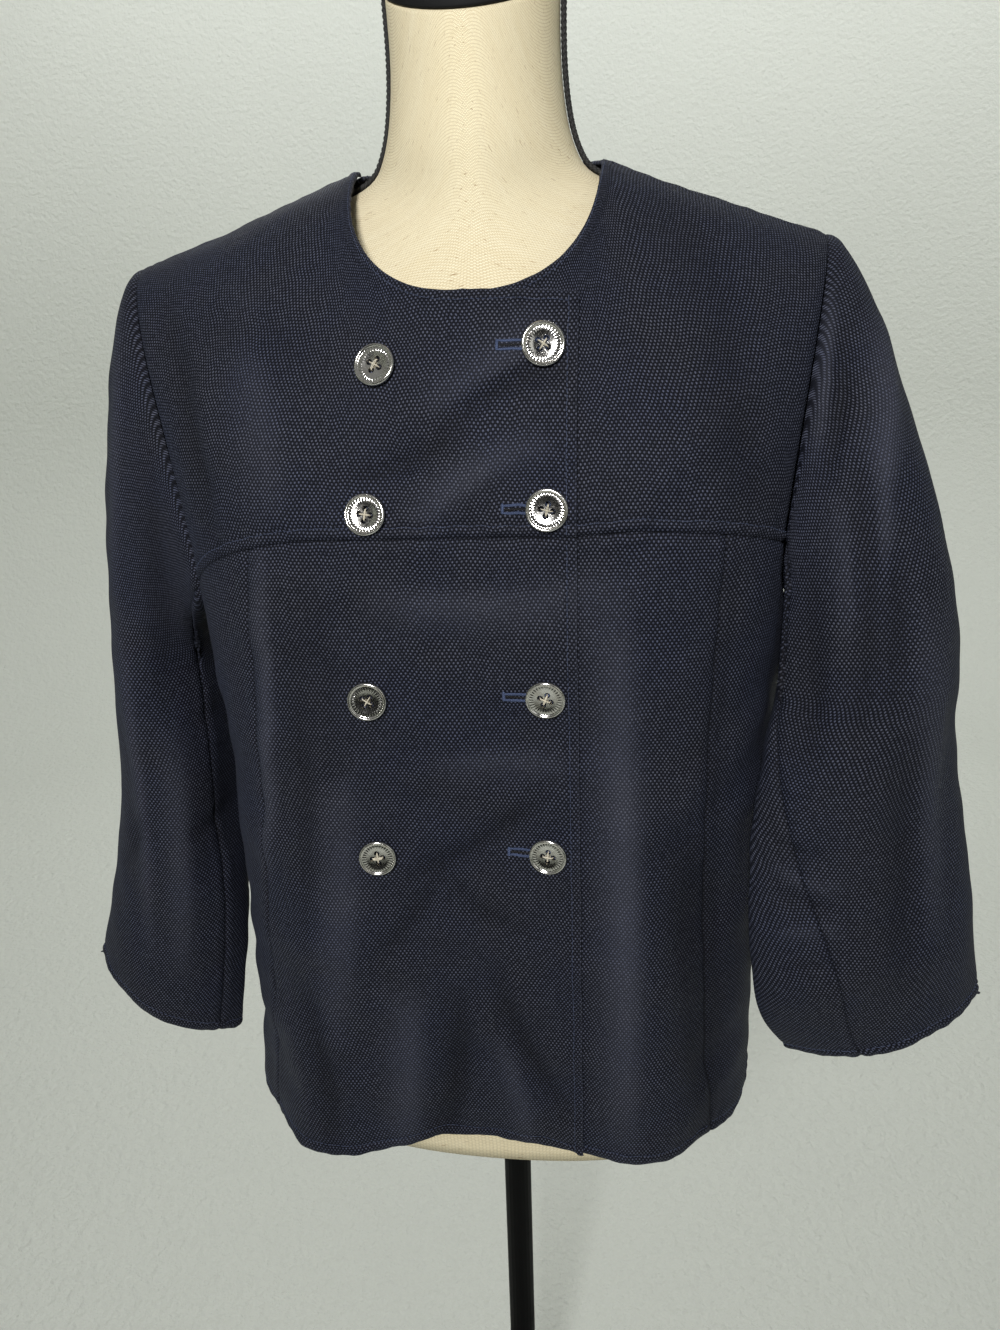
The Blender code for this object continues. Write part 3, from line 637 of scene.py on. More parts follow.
# each way to finish an edge: a valley at the line, a puff beside it, a stitched groove and a painted shade
# along it, below 0 darker and above 0 paler
edgeColumns = ("drop", "over", "puff", "puffAt", "groove", "stitchAt", "pucker", "shade")
edgeKinds = {
    "seam": (0.0009, 0.0015, 0.0004, 0.0060, 0, 0.0080, 0.00015, -0.40),
    "armhole": (0.0007, 0.0026, 0.0004, 0.0080, 0, 0.0080, 0, -0.32),
    "stitched": (0.0009, 0.0012, 0.0010, 0.0040, 0.0007, 0.0080, 0.00030, -0.50),
    "hem": (0.0007, 0.0010, 0.0006, 0.0050, 0.0006, 0.0090, 0.00030, 0.30),
    "edge": (0.0007, 0.0010, 0.0005, 0.0038, 0.0005, 0.0064, 0.00020, 0.30),
    "plain": (0.0006, 0.0010, 0, 0.0050, 0, 0.0060, 0, 0.15),
}
edgeKinds = {kind: dict(zip(edgeColumns, row)) for kind, row in edgeKinds.items()}


def spacing(size, start=True, end=True):
    near = np.array(cloth["near"])
    if cloth["coarse"] > 1:
        near = near[::2]
    left = near if start else near[:1]
    right = near if end else near[:1]
    middle = size - left[-1] - right[-1]
    count = max(2, round(middle / (cloth["step"] * cloth["coarse"])))
    inner = left[-1] + middle * np.arange(1, count) / count
    return np.concatenate((left, inner, size - right[::-1])) / size


def gridNormal(points):
    normal = np.cross(np.gradient(points, axis=1), np.gradient(points, axis=0))
    return normal / np.maximum(length3(normal), 1e-12)


def distanceTo(points, line):
    flat = points.reshape(-1, 3)
    start, way = line[:-1], np.diff(line, axis=0)
    size = np.maximum((way**2).sum(-1), 1e-14)
    found = np.empty(len(flat))
    for k in range(0, len(flat), 4000):
        offset = flat[k : k + 4000, None] - start[None]
        share = np.clip((offset * way).sum(-1) / size, 0, 1)
        found[k : k + 4000] = ((offset - share[..., None] * way) ** 2).sum(-1).min(1)
    return np.sqrt(found).reshape(points.shape[:-1])


def ripple(points, wave, seed, count=9):
    random = np.random.default_rng(seed)
    total = np.zeros(points.shape[:-1])
    for _ in range(count):
        way = random.normal(size=3)
        way *= 2 * pi / (wave * random.uniform(0.7, 1.5) * np.linalg.norm(way))
        total += np.sin(points @ way + random.uniform(0, 2 * pi))
    return total / sqrt(count / 2)


def indexGrid(rows, columns, closed=False):
    index = np.arange(rows * columns).reshape(rows, columns)
    return np.concatenate((index, index[:, :1]), 1) if closed else index


def quadsOf(index):
    corners = (index[:-1, :-1], index[:-1, 1:], index[1:, 1:], index[1:, :-1])
    return np.stack(corners, -1).reshape(-1, 4)


def gridMesh(name, points, uv=None, closed=False):
    rows, columns = points.shape[:2]
    quads = quadsOf(indexGrid(rows, columns, closed))
    mesh = bpy.data.meshes.new(name)
    mesh.from_pydata(points.reshape(-1, 3).tolist(), [], quads.tolist())
    if uv is not None:
        # a closed grid has one more column of uv than of points
        corners = quadsOf(indexGrid(rows, uv.shape[1]))
        layer = mesh.uv_layers.new(name="cloth")
        layer.data.foreach_set("uv", uv.reshape(-1, 2)[corners.ravel()].ravel())
    mesh.shade_smooth()
    return mesh


def addPiece(name, mesh, material, node=None):
    made = bpy.data.objects.new(name, mesh)
    made.data.materials.clear()
    made.data.materials.append(material)
    bpy.context.scene.collection.objects.link(made)
    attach(made, rideOn)
    if node:
        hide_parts(node)
    return made


def clothUv(points, zeroColumn, zeroRow):
    u, v = runAlong(points, 1), runAlong(points, 0)
    u = u - u[:, zeroColumn : zeroColumn + 1 or None][:, :1]
    v = v - v[zeroRow][None]
    return np.stack((u, v + points[zeroRow, :, 2][None]), -1)


def finishedEdges(points, edges):
    lift = np.zeros(points.shape[:-1])
    for kind, line in edges:
        s = edgeKinds[kind]
        far = distanceTo(points, line)
        lift -= s["drop"] * np.exp(-((far / s["over"]) ** 2))
        pucker = 1 + 0.25 * ripple(points, cloth["puffWave"], 5)
        lift += s["puff"] * pucker * np.exp(-(((far - s["puffAt"]) / (0.5 * s["puffAt"])) ** 2))
        lift -= s["groove"] * np.exp(-(((far - s["stitchAt"]) / cloth["grooveWide"]) ** 2))
        near = np.exp(-((far / cloth["puckerWide"]) ** 2))
        lift += s["pucker"] * ripple(points, cloth["puckerWave"], 8) * near
    return lift


def seamShade(points, edges):
    # below 0 is painted shade in a seam's valley and its stitched groove, above 0 makes a pressed edge paler
    shade = np.zeros(points.shape[:-1])
    wide = cloth["shadeWide"]
    for kind, line in edges:
        s = edgeKinds[kind]
        far = distanceTo(points, line)
        shade += s["shade"] * np.exp(-((far / wide) ** 2))
        if s["groove"]:
            shade -= cloth["stitchShade"] * np.exp(-(((far - s["stitchAt"]) / wide) ** 2))
    return shade


def foldShade(fold):
    # painted shade in a trough, a painted highlight on a ridge
    return np.clip(fold / cloth["foldFade"], -0.50, 0.55)


def addShade(mesh, shade):
    mesh.attributes.new("seamShade", "FLOAT", "POINT").data.foreach_set("value", shade.ravel().astype(float))


def lowestPair(part, size):
    # one number for an edge or a face, from its two lowest vertices
    first, second = sorted(vert.index for vert in part.verts)[:2]
    return first * size + second


def turnIn(mesh, depth):
    # the cloth's edges folded in, so that no light shows through a seam
    made = bmesh.new()
    made.from_mesh(mesh)
    made.normal_update()
    count = len(made.verts)
    order = {face: k for k, face in enumerate(made.faces)}
    rim = [edge for edge in made.edges if edge.is_boundary]
    grownFrom = {tuple(vert.co): (vert.index, vert.normal.copy()) for edge in rim for vert in edge.verts}
    for vert in bmesh.ops.extrude_edge_only(made, edges=rim)["geom"]:
        if isinstance(vert, bmesh.types.BMVert):
            index, normal = grownFrom[tuple(vert.co)]
            vert.index = count + index
            vert.co = vert.co - normal * depth
    # the extrusion leaves its new parts in no fixed order, so they are put in one
    made.verts.sort()
    made.verts.index_update()
    size = len(made.verts)
    made.edges.sort(key=lambda edge: lowestPair(edge, size))
    made.faces.sort(key=lambda face: order.get(face, len(order) + lowestPair(face, size)))
    made.to_mesh(mesh)
    made.free()
    mesh.shade_smooth()


sides = {"left": -1, "right": 1}
armholeLines = {}
panels = {}


def bodySway(points):
    # soft unevenness of the hanging cloth, none at the armholes and little on the shoulders
    sway = cloth["swayHigh"] * ripple(points, 0.085, 21) + 0.0005 * ripple(points, 0.034, 22)
    for line in armholeLines.values():
        sway = sway * (1 - np.exp(-((distanceTo(points, line) / cloth["bodyStill"]) ** 2)))
    return sway * (1 - 0.75 * ease(points[..., 2], 1.17, 1.25))


def hangPanel(name, mesh, shade, node, material):
    addShade(mesh, shade)
    turnIn(mesh, cloth["turnIn"])
    piece = addPiece(name, mesh, material, node)
    wall = piece.modifiers.new("wall", "SOLIDIFY")
    wall.thickness = cloth["thick"]
    wall.offset = -1
    return piece


def dressPanel(name, points, edges, zeroColumn, zeroRow, sway, folds, node, material):
    normal = gridNormal(points)
    fold = foldDepth(points, normal, folds)
    lift = sway(points) + fold + finishedEdges(points, edges)
    made = points + lift[..., None] * normal
    mesh = gridMesh(name, made, clothUv(made, zeroColumn, zeroRow))
    piece = hangPanel(name, mesh, seamShade(points, edges) + foldShade(fold), node, material)
    panels[name] = {"points": made, "normal": gridNormal(made), "piece": piece}


def patchOf(surface, edges, shares, rows, lowOf, highOf, liftOf=None):
    row = np.asarray(rows)[:, None]
    marks = [np.broadcast_to(edge(row), row.shape) for edge in edges]
    blocks = [marks[0] + 0 * row]
    for start, end, share in zip(marks, marks[1:], shares):
        blocks.append(start + (end - start) * share[None, 1:])
    angle = np.concatenate(blocks, 1)
    low, high = lowOf(angle), highOf(angle)
    points = surface(angle, low + (high - low) * row)
    if liftOf:
        points = points + liftOf(angle)[..., None] * gridNormal(points)
    return settled(points), angle


# folds listed: ends as seen straight on, width, depth (below 0 is a trough), bow to one side,
# and 1 for the front or -1 for the back
foldColumns = ("fromX", "fromZ", "toX", "toZ", "width", "depth", "bow", "facing")
bodyFolds = (
    (0.064, 1.174, -0.022, 1.133, 0.0070, -0.0020, -0.10, 1),
    (0.004, 1.144, -0.082, 1.112, 0.0065, -0.0016, 0.08, 1),
    (0.048, 1.200, -0.026, 1.148, 0.0120, 0.0014, 0.05, 1),
    (0.050, 1.134, -0.038, 1.083, 0.0100, 0.0015, -0.06, 1),
    (-0.075, 1.040, 0.085, 1.052, 0.0130, 0.0013, -0.05, 1),
    (0.046, 0.916, -0.060, 0.840, 0.0070, -0.0018, 0.06, 1),
    (-0.034, 0.928, 0.064, 0.933, 0.0090, 0.0011, 0.04, 1),
    (-0.026, 0.858, -0.086, 0.774, 0.0075, -0.0015, 0.07, 1),
    (-0.032, 0.855, 0.030, 0.800, 0.0070, -0.0013, -0.06, 1),
    (-0.020, 0.760, -0.044, 0.585, 0.0100, -0.0026, 0.04, 1),
    (0.004, 0.780, 0.060, 0.640, 0.0085, -0.0022, -0.05, 1),
    (-0.056, 0.760, -0.070, 0.590, 0.0130, 0.0020, 0.02, 1),
    (0.006, 0.720, 0.026, 0.600, 0.0090, 0.0016, 0.03, 1),
    (0.085, 1.060, 0.097, 0.600, 0.0135, 0.0026, 0.01, 1),
    (0.128, 0.900, 0.160, 0.590, 0.0170, -0.0034, 0.03, 1),
    (-0.130, 1.080, -0.160, 0.820, 0.0060, 0.0022, 0.02, 1),
    (-0.116, 1.030, -0.131, 0.780, 0.0090, -0.0015, 0.02, 1),
    (0.155, 1.072, 0.158, 0.780, 0.0080, -0.0012, -0.02, 1),
    (-0.139, 0.770, -0.120, 0.600, 0.0110, -0.0022, 0.05, 1),
    (-0.208, 1.225, -0.164, 1.050, 0.0105, -0.0019, 0.04, 1),
    (-0.150, 1.225, -0.118, 1.085, 0.0150, 0.0010, 0.03, 1),
    (0.148, 1.200, 0.172, 1.076, 0.0150, -0.0014, -0.04, 1),
    (-0.190, 1.204, -0.080, 1.178, 0.0120, -0.0009, 0.05, 1),
    (0.100, 1.270, 0.160, 1.180, 0.0130, -0.0010, 0.06, 1),
    (-0.100, 1.066, -0.098, 0.900, 0.0120, -0.0011, 0.02, 1),
    (-0.092, 0.940, -0.116, 0.700, 0.0140, 0.0014, 0.03, 1),
    (-0.150, 1.215, 0.150, 1.205, 0.0140, -0.0016, 0.03, -1),
    (-0.190, 1.170, -0.060, 1.140, 0.0120, -0.0013, 0.05, -1),
    (0.185, 1.160, 0.050, 1.128, 0.0120, -0.0015, -0.05, -1),
    (-0.175, 1.060, -0.100, 0.960, 0.0110, -0.0016, 0.06, -1),
    (0.172, 1.050, 0.095, 0.940, 0.0120, -0.0018, -0.06, -1),
    (-0.120, 1.000, -0.136, 0.640, 0.0180, 0.0026, 0.02, -1),
    (-0.060, 0.900, -0.072, 0.600, 0.0160, -0.0024, 0.03, -1),
    (-0.006, 0.960, 0.004, 0.600, 0.0200, 0.0022, 0.02, -1),
    (0.062, 0.880, 0.078, 0.600, 0.0150, -0.0027, -0.03, -1),
    (0.124, 0.980, 0.140, 0.620, 0.0170, 0.0023, -0.02, -1),
    (-0.080, 0.930, 0.060, 0.915, 0.0100, -0.0012, 0.04, -1),
    (-0.040, 1.040, 0.100, 1.060, 0.0120, -0.0011, -0.04, -1),
)
sleeveFolds = {
    "left": (
        (-0.243, 1.215, -0.262, 1.010, 0.0050, 0.0015, 0.02, 1),
        (-0.260, 1.030, -0.280, 0.720, 0.0060, 0.0017, 0.02, 1),
        (-0.182, 1.050, -0.228, 0.790, 0.0110, -0.0028, 0.03, 1),
        (-0.221, 1.150, -0.240, 0.920, 0.0085, -0.0013, 0.02, 1),
        (-0.166, 0.966, -0.228, 0.919, 0.0055, -0.0016, 0.08, 1),
        (-0.172, 0.888, -0.236, 0.828, 0.0060, -0.0017, 0.08, 1),
        (-0.180, 0.930, -0.222, 0.900, 0.0050, 0.0010, 0.06, 1),
        (-0.202, 1.205, -0.180, 1.100, 0.0080, 0.0014, 0.02, 1),
        (-0.233, 0.935, -0.258, 0.700, 0.0090, 0.0014, 0.02, 1),
        (-0.262, 0.860, -0.300, 0.800, 0.0060, -0.0012, 0.06, 1),
        (-0.215, 1.160, -0.235, 0.960, 0.0100, -0.0018, 0.03, -1),
        (-0.300, 0.960, -0.220, 0.925, 0.0065, -0.0022, 0.06, -1),
        (-0.300, 0.925, -0.225, 0.885, 0.0060, -0.0019, -0.05, -1),
        (-0.295, 0.900, -0.240, 0.905, 0.0060, 0.0013, 0.05, -1),
        (-0.250, 0.880, -0.275, 0.700, 0.0110, 0.0018, 0.02, -1),
    ),
    "right": (
        (0.209, 1.215, 0.202, 1.110, 0.0055, 0.0016, 0.02, 1),
        (0.218, 1.190, 0.208, 1.100, 0.0050, -0.0017, 0.03, 1),
        (0.240, 1.200, 0.242, 1.100, 0.0085, 0.0022, 0.02, 1),
        (0.227, 1.120, 0.233, 0.940, 0.0070, -0.0019, 0.02, 1),
        (0.236, 1.140, 0.241, 1.040, 0.0065, 0.0014, 0.02, 1),
        (0.215, 1.100, 0.229, 0.990, 0.0065, 0.0013, 0.02, 1),
        (0.184, 0.882, 0.226, 0.870, 0.0045, -0.0010, -0.10, 1),
        (0.186, 0.861, 0.236, 0.851, 0.0050, 0.0008, -0.08, 1),
        (0.186, 0.841, 0.230, 0.833, 0.0045, -0.0010, 0.06, 1),
        (0.190, 0.812, 0.236, 0.822, 0.0050, 0.0008, 0.06, 1),
        (0.196, 0.785, 0.232, 0.798, 0.0045, -0.0009, 0.06, 1),
        (0.248, 1.070, 0.250, 0.960, 0.0080, -0.0020, 0.03, 1),
        (0.268, 1.040, 0.296, 0.800, 0.0100, 0.0016, 0.02, 1),
        (0.201, 1.060, 0.207, 0.920, 0.0080, -0.0016, 0.02, 1),
        (0.262, 0.960, 0.276, 0.760, 0.0120, -0.0018, 0.03, 1),
        (0.222, 1.170, 0.240, 0.970, 0.0100, -0.0018, -0.03, -1),
        (0.300, 0.950, 0.222, 0.915, 0.0065, -0.0022, -0.06, -1),
        (0.305, 0.915, 0.230, 0.872, 0.0065, -0.0020, 0.05, -1),
        (0.300, 0.892, 0.245, 0.895, 0.0060, 0.0013, 0.05, -1),
        (0.262, 0.880, 0.285, 0.740, 0.0110, 0.0018, 0.02, -1),
    ),
}


def foldDepth(points, normal, folds):
    # soft troughs (depth below 0) and ridges, seen straight from the front or back
    total = np.zeros(points.shape[:-1])
    for fold in folds:
        f = dict(zip(foldColumns, fold))
        start = np.array((f["fromX"], f["fromZ"]))
        way = np.array((f["toX"], f["toZ"])) - start
        size = np.linalg.norm(way)
        flat = points[..., (0, 2)] - start
        run = flat @ way / size**2
        off = (flat @ np.array((-way[1], way[0]))) / size
        taper = (np.clip(run, 0, 1) * np.clip(1 - run, 0, 1) * 4) ** 0.8
        bend = off - f["bow"] * size * np.sin(pi * np.clip(run, 0, 1))
        seen = ease(-normal[..., 1] * f["facing"], -0.1, 0.35)
        narrow = np.where(bend > 0, 0.75, 1.25) * f["width"]
        total += cloth["foldGain"] * f["depth"] * taper * seen * np.exp(-((bend / narrow) ** 2))
    return total


def makeBody(material):
    hem = fixed(body["hem"])
    place = np.append(np.linspace(0, 4, 161)[:-1], 0) + 1e-9
    for name, side in sides.items():
        armholeLines[name] = armholePoint(side, place)
    for name, side in sides.items():
        lapSide = -side
        lift = lapLift if side < 0 else None
        outer, neck = side * body["frontNotch"], neckAngle(side)
        princess = lambda row: princessAngle(side, body["hem"] + (body["yoke"] - body["hem"]) * row)
        flip = lambda edges, shares: (
            (edges, shares) if side < 0 else (edges[::-1], [1 - share[::-1] for share in shares[::-1]])
        )
        # yoke
        points, onShoulder = yokePatch(side, spacing(0.19), lift)
        onNeck = ~onShoulder
        onNeck[np.flatnonzero(onShoulder)[-1]] = True
        if side > 0:
            points, onShoulder, onNeck = points[:, ::-1], onShoulder[::-1], onNeck[::-1]
        lapColumn, armColumn = (-1, 0) if side < 0 else (0, -1)
        shared = (lapColumn, 0, bodySway, bodyFolds)
        edgeLines = [
            ("stitched", points[0]),
            ("seam", points[-1][onShoulder]),
            ("edge", points[-1][onNeck]),
            ("edge", points[:, lapColumn]),
            ("armhole", points[:, armColumn]),
        ]
        if side > 0:
            edgeLines[3] = ("plain", points[:, lapColumn])
        dressPanel(f"frontYoke_{name}", points, edgeLines, *shared, f"front_yoke_{name}", material)
        panels[f"frontYoke_{name}"]["onNeck"] = onNeck
        # centre front
        skirtLap = lambda row: lapAngle(skirt, hem, yokeHeight, row, lapSide)
        edges, shares = flip([princess, skirtLap], [spacing(0.21)])
        rows = spacing(0.468)
        points, angle = patchOf(skirt, edges, shares, rows, hem, yokeHeight, lift)
        edgeLines = [
            ("hem", points[0]),
            ("seam", points[-1]),
            ("edge" if side < 0 else "plain", points[:, lapColumn]),
            ("seam", points[:, armColumn]),
        ]
        dressPanel(f"centreFront_{name}", points, edgeLines, *shared, f"centre_front_{name}", material)
        # side front
        sideTop = lambda angle: np.where(
            np.abs(angle) < body["frontNotch"], yokeHeight(angle), armholeHeight(angle)
        )
        shares = [spacing(0.10, end=False), spacing(0.075, start=False)]
        edges, shares = flip([fixed(side * pi / 2), fixed(outer), princess], shares)
        points, angle = patchOf(skirt, edges, shares, rows, hem, sideTop)
        underArm = np.abs(angle[-1]) >= body["frontNotch"] - 1e-6
        edgeLines = [
            ("hem", points[0]),
            ("seam", points[-1][~underArm]),
            ("armhole", points[-1][underArm]),
            ("seam", points[:, 0]),
            ("seam", points[:, -1]),
        ]
        dressPanel(f"sideFront_{name}", points, edgeLines, *shared, f"side_front_{name}", material)


def makeBack(material):
    # one piece from hem to shoulders: a lower grid to the line between the notches, an upper one above
    notch, top = body["backNotch"], body["backNotchHeight"]
    marks = (pi / 2, notch, pi - neckAngle(1), pi - neckAngle(-1), 2 * pi - notch, 3 * pi / 2)
    edges = [fixed(mark) for mark in marks]
    plain = {"start": False, "end": False}
    wing, nape = spacing(0.16, **plain), spacing(0.156, **plain)
    shares = [spacing(0.09, end=False), wing, nape, wing, spacing(0.09, start=False)]
    turned = lambda angle: np.minimum(angle, 2 * pi - angle)
    lowTop = lambda angle: np.where(turned(angle) < notch, armholeHeight(turned(angle)), top)
    lower, angle = patchOf(backSurface, edges, shares, spacing(0.46, end=False), fixed(body["hem"]), lowTop)
    rows = spacing(0.20, start=False)
    first = len(shares[0]) - 1
    lowAngle = angle[-1, first : angle.shape[1] - first]
    turn = np.linspace(0, pi, 400)
    x, y = body["neckHalf"] * np.cos(turn), body["shoulderY"] + body["napeDepth"] * np.sin(turn)
    way = np.where(x >= 0, 1, -1)
    beyond = lambda a: np.abs(shoulder(way * (pi - a))[..., 0]) - np.abs(x)
    reach = np.sign(x) * crossing(beyond, 0 * x, 0 * x + 1.0)
    napeAngle = way * (pi - np.abs(reach))
    share = crossing(lambda s: y - backTop(napeAngle, s)[..., 1], 0 * x + 0.3, 0 * x + 1)
    share[0] = share[-1] = 1
    napeRun = arcOf(backTop(napeAngle, share))
    at = nape * napeRun[-1]
    topAngle = lowAngle.copy()
    topShare = np.ones(len(lowAngle))
    napeStart = len(wing) - 1
    topAngle[napeStart : napeStart + len(nape)] = np.interp(at, napeRun, pi - reach)
    topShare[napeStart : napeStart + len(nape)] = np.interp(at, napeRun, share)
    row = rows[:, None]
    aboveAngle = lowAngle + (topAngle - lowAngle) * row
    above = settled(backSurface(aboveAngle, top + 1e-9 + topShare * row))
    middle = slice(first, first + above.shape[1])
    above[0] = lower[-1, middle]
    whole = np.concatenate((lower[:-1, middle], above))
    wholeNormal, lowerNormal = gridNormal(whole), gridNormal(lower)
    aboveNormal = wholeNormal[len(lower) - 1 :]
    lowerNormal[-1, middle] = aboveNormal[0]
    onNeck = (aboveAngle[-1] >= marks[2] - 1e-6) & (aboveAngle[-1] <= marks[3] + 1e-6)
    split = np.flatnonzero(onNeck)
    lines = [
        ("hem", lower[0]),
        ("seam", lower[:, 0]),
        ("seam", lower[:, -1]),
        ("armhole", np.concatenate((lower[-1, : first + 1], above[1:, 0]))),
        ("armhole", np.concatenate((lower[-1, middle.stop - 1 :][::-1], above[1:, -1]))),
        ("seam", above[-1, : split[0] + 1]),
        ("seam", above[-1, split[-1] :]),
        ("edge", above[-1, split[0] : split[-1] + 1]),
    ]
    lowFold, highFold = foldDepth(lower, lowerNormal, bodyFolds), foldDepth(above, aboveNormal, bodyFolds)
    lowShade = seamShade(lower, lines) + foldShade(lowFold)
    highShade = seamShade(above, lines) + foldShade(highFold)
    shade = np.concatenate((lowShade.ravel(), highShade[1:].ravel()))
    sizes = (lower, lowerNormal, lowFold), (above, aboveNormal, highFold)
    lower, above = (
        points + (bodySway(points) + fold + finishedEdges(points, lines))[..., None] * normal
        for points, normal, fold in sizes
    )
    centre = lower.shape[1] // 2
    lowUv = clothUv(lower, centre, 0)
    wholeUv = clothUv(np.concatenate((lower[:-1, middle], above)), centre - first, 0)
    index = indexGrid(*lower.shape[:2])
    over = index.size + np.arange((above.shape[0] - 1) * above.shape[1]).reshape(-1, above.shape[1])
    over = np.concatenate((index[-1:, middle], over))
    quads = np.concatenate([quadsOf(index), quadsOf(over)])
    points = np.concatenate((lower.reshape(-1, 3), above[1:].reshape(-1, 3)))
    uv = np.concatenate((lowUv.reshape(-1, 2), wholeUv[len(lower) :].reshape(-1, 2)))
    mesh = bpy.data.meshes.new("back")
    mesh.from_pydata(points.tolist(), [], quads.tolist())
    mesh.uv_layers.new(name="cloth").data.foreach_set("uv", uv[quads.ravel()].ravel())
    mesh.shade_smooth()
    piece = hangPanel("backPanel", mesh, shade, "back", material)
    panels["backPanel"] = {
        "points": lower,
        "normal": gridNormal(lower),
        "above": above,
        "onNeck": onNeck,
        "piece": piece,
    }


def makeSleeves(material):
    head = spacing(0.28, end=False)
    down = np.concatenate((head, 1 + spacing(0.28, start=False)[1:]))
    bicep = len(head) - 1
    for name, side in sides.items():
        for piece, first, size in (("upper", 3, 0.27), ("under", 1, 0.08)):
            place = first + 2 * spacing(size)
            points = sleeveSurface(name, side, place[None], down[:, None] + 0 * place[None])
            if side < 0:
                points = points[:, ::-1]
            lines = [
                ("armhole", points[0]),
                ("hem", points[-1]),
                ("seam", points[:, 0]),
                ("seam", points[:, -1]),
            ]

            def sway(points, name=name):
                sway = cloth["sleeveSway"] * ripple(points, 0.120, 31) + 0.0004 * ripple(points, 0.040, 32)
                far = distanceTo(points, armholeLines[name])
                return sway * (1 - np.exp(-((far / cloth["sleeveStill"]) ** 2)))

            zeroColumn = len(place) // 2 if piece == "upper" else 0
            given = (zeroColumn, bicep, sway, sleeveFolds[name], f"{piece}_sleeve_{name}", material)
            dressPanel(f"{piece}Sleeve_{name}", points, lines, *given)


form = {
    "columns": ("height", "width", "front", "back", "corner"),
    "rings": (
        (0.576, 0.160, 0.098, 0.106, 0.05),
        (0.620, 0.166, 0.102, 0.114, 0.05),
        (0.720, 0.170, 0.104, 0.120, 0.05),
        (0.860, 0.138, 0.090, 0.094, 0.03),
        (0.980, 0.158, 0.106, 0.102, 0.03),
        (1.060, 0.168, 0.112, 0.106, 0.03),
        (1.140, 0.170, 0.090, 0.100, 0.02),
        (1.200, 0.168, 0.066, 0.080, 0.00),
        (1.232, 0.156, 0.056, 0.066, -0.05),
        (1.2560, 0.132, 0.051, 0.058, -0.10),
        (1.2700, 0.104, 0.050, 0.055, -0.11),
        (1.2790, 0.079, 0.050, 0.054, -0.07),
        (1.2930, 0.063, 0.051, 0.054, -0.02),
        (1.320, 0.055, 0.052, 0.053, 0.00),
        (1.390, 0.053, 0.053, 0.054, 0.00),
    ),
    "slant": radians(26),
    "capThick": 0.010,
    "capProud": 0.0015,
    "sides": 160,
    "clothTurn": 0.056,
    "braidEnd": 1.205,
}

braid = {"stand": 0.00215, "strand": 0.00135, "aside": 0.0017, "out": 0.00055, "pitch": 0.0100, "sides": 8}


def formPoint(angle, height):
    ring = readRings(form["columns"], form["rings"], height)
    depth = np.where(np.cos(angle) > 0, ring["front"], ring["back"])
    x = ring["width"] * across(angle, ring["corner"])
    return pointOf(x, body["sideLine"] - depth * along(angle, ring["corner"]), height)


def slanted(points, lift=0.0):
    rise = lift + (points[..., 1] - body["sideLine"]) * tan(form["slant"])
    return pointOf(points[..., 0], points[..., 1], points[..., 2] + rise)


def makeForm(linen, blackCloth, braidMaterial):
    angle = np.linspace(-pi, pi, form["sides"], endpoint=False)
    foot, top = form["rings"][0][0], form["rings"][-1][0]
    heights = np.concatenate((np.linspace(foot, 1.20, 60)[:-1], np.linspace(1.20, top, 70)))
    walls = settled(formPoint(angle[None], heights[:, None] + 0 * angle[None]))
    share = ease(heights, 1.32, top)[:, None]
    walls = walls + share[..., None] * (slanted(walls) - walls)
    under = walls[0]
    middle = under.mean(0)
    foots = [middle + (under - middle) * k for k in (0.02, 0.5, 0.9, 0.975)]
    grid = np.concatenate((np.array(foots), walls))
    around = np.linspace(-pi, pi, form["sides"] + 1)
    u = around[None] * (form["clothTurn"] * np.ones((len(grid), 1)))
    v = runAlong(grid, 0)
    v = np.concatenate((v, v[:, :1]), 1)
    torso = gridMesh("torso", grid, np.stack((u, v), -1), closed=True)
    closeEnds(torso, form["sides"], len(grid))
    addPiece("formTorso", torso, linen, "form_torso")

    neck = settled(formPoint(angle, top + 0 * angle))
    middle = neck.mean(0)
    proud = form["capProud"] / form["rings"][-1][1]
    outline = [
        (0.02, 0.0003),
        (0.93, 0.0003),
        (1.0 + 0.5 * proud, 0.0008),
        (1.0 + proud, 0.0022),
        (1.0 + proud, form["capThick"] - 0.0026),
        (1.0 + 0.3 * proud, form["capThick"] - 0.0008),
        (0.95, form["capThick"]),
        (0.60, form["capThick"] + 0.0010),
        (0.30, form["capThick"] + 0.0014),
        (0.02, form["capThick"] + 0.0015),
    ]
    rings = np.array([slanted(middle + (neck - middle) * wide, lift) for wide, lift in outline])
    cap = gridMesh("neckCap", rings, closed=True)
    closeEnds(cap, form["sides"], len(rings))
    piece = addPiece("neckCap", cap, blackCloth, "neck_cap")
    smooth = piece.modifiers.new("smooth", "SUBSURF")
    smooth.levels = smooth.render_levels = 1
    for name, side in sides.items():
        makeBraid(name, side, braidMaterial)


def closeEnds(mesh, sides, rows):
    made = bmesh.new()
    made.from_mesh(mesh)
    made.verts.ensure_lookup_table()
    first = [made.verts[k] for k in range(sides)]
    last = [made.verts[(rows - 1) * sides + k] for k in range(sides)]
    made.faces.new(first[::-1])
    made.faces.new(last)
    made.to_mesh(mesh)
    made.free()
    mesh.shade_smooth()


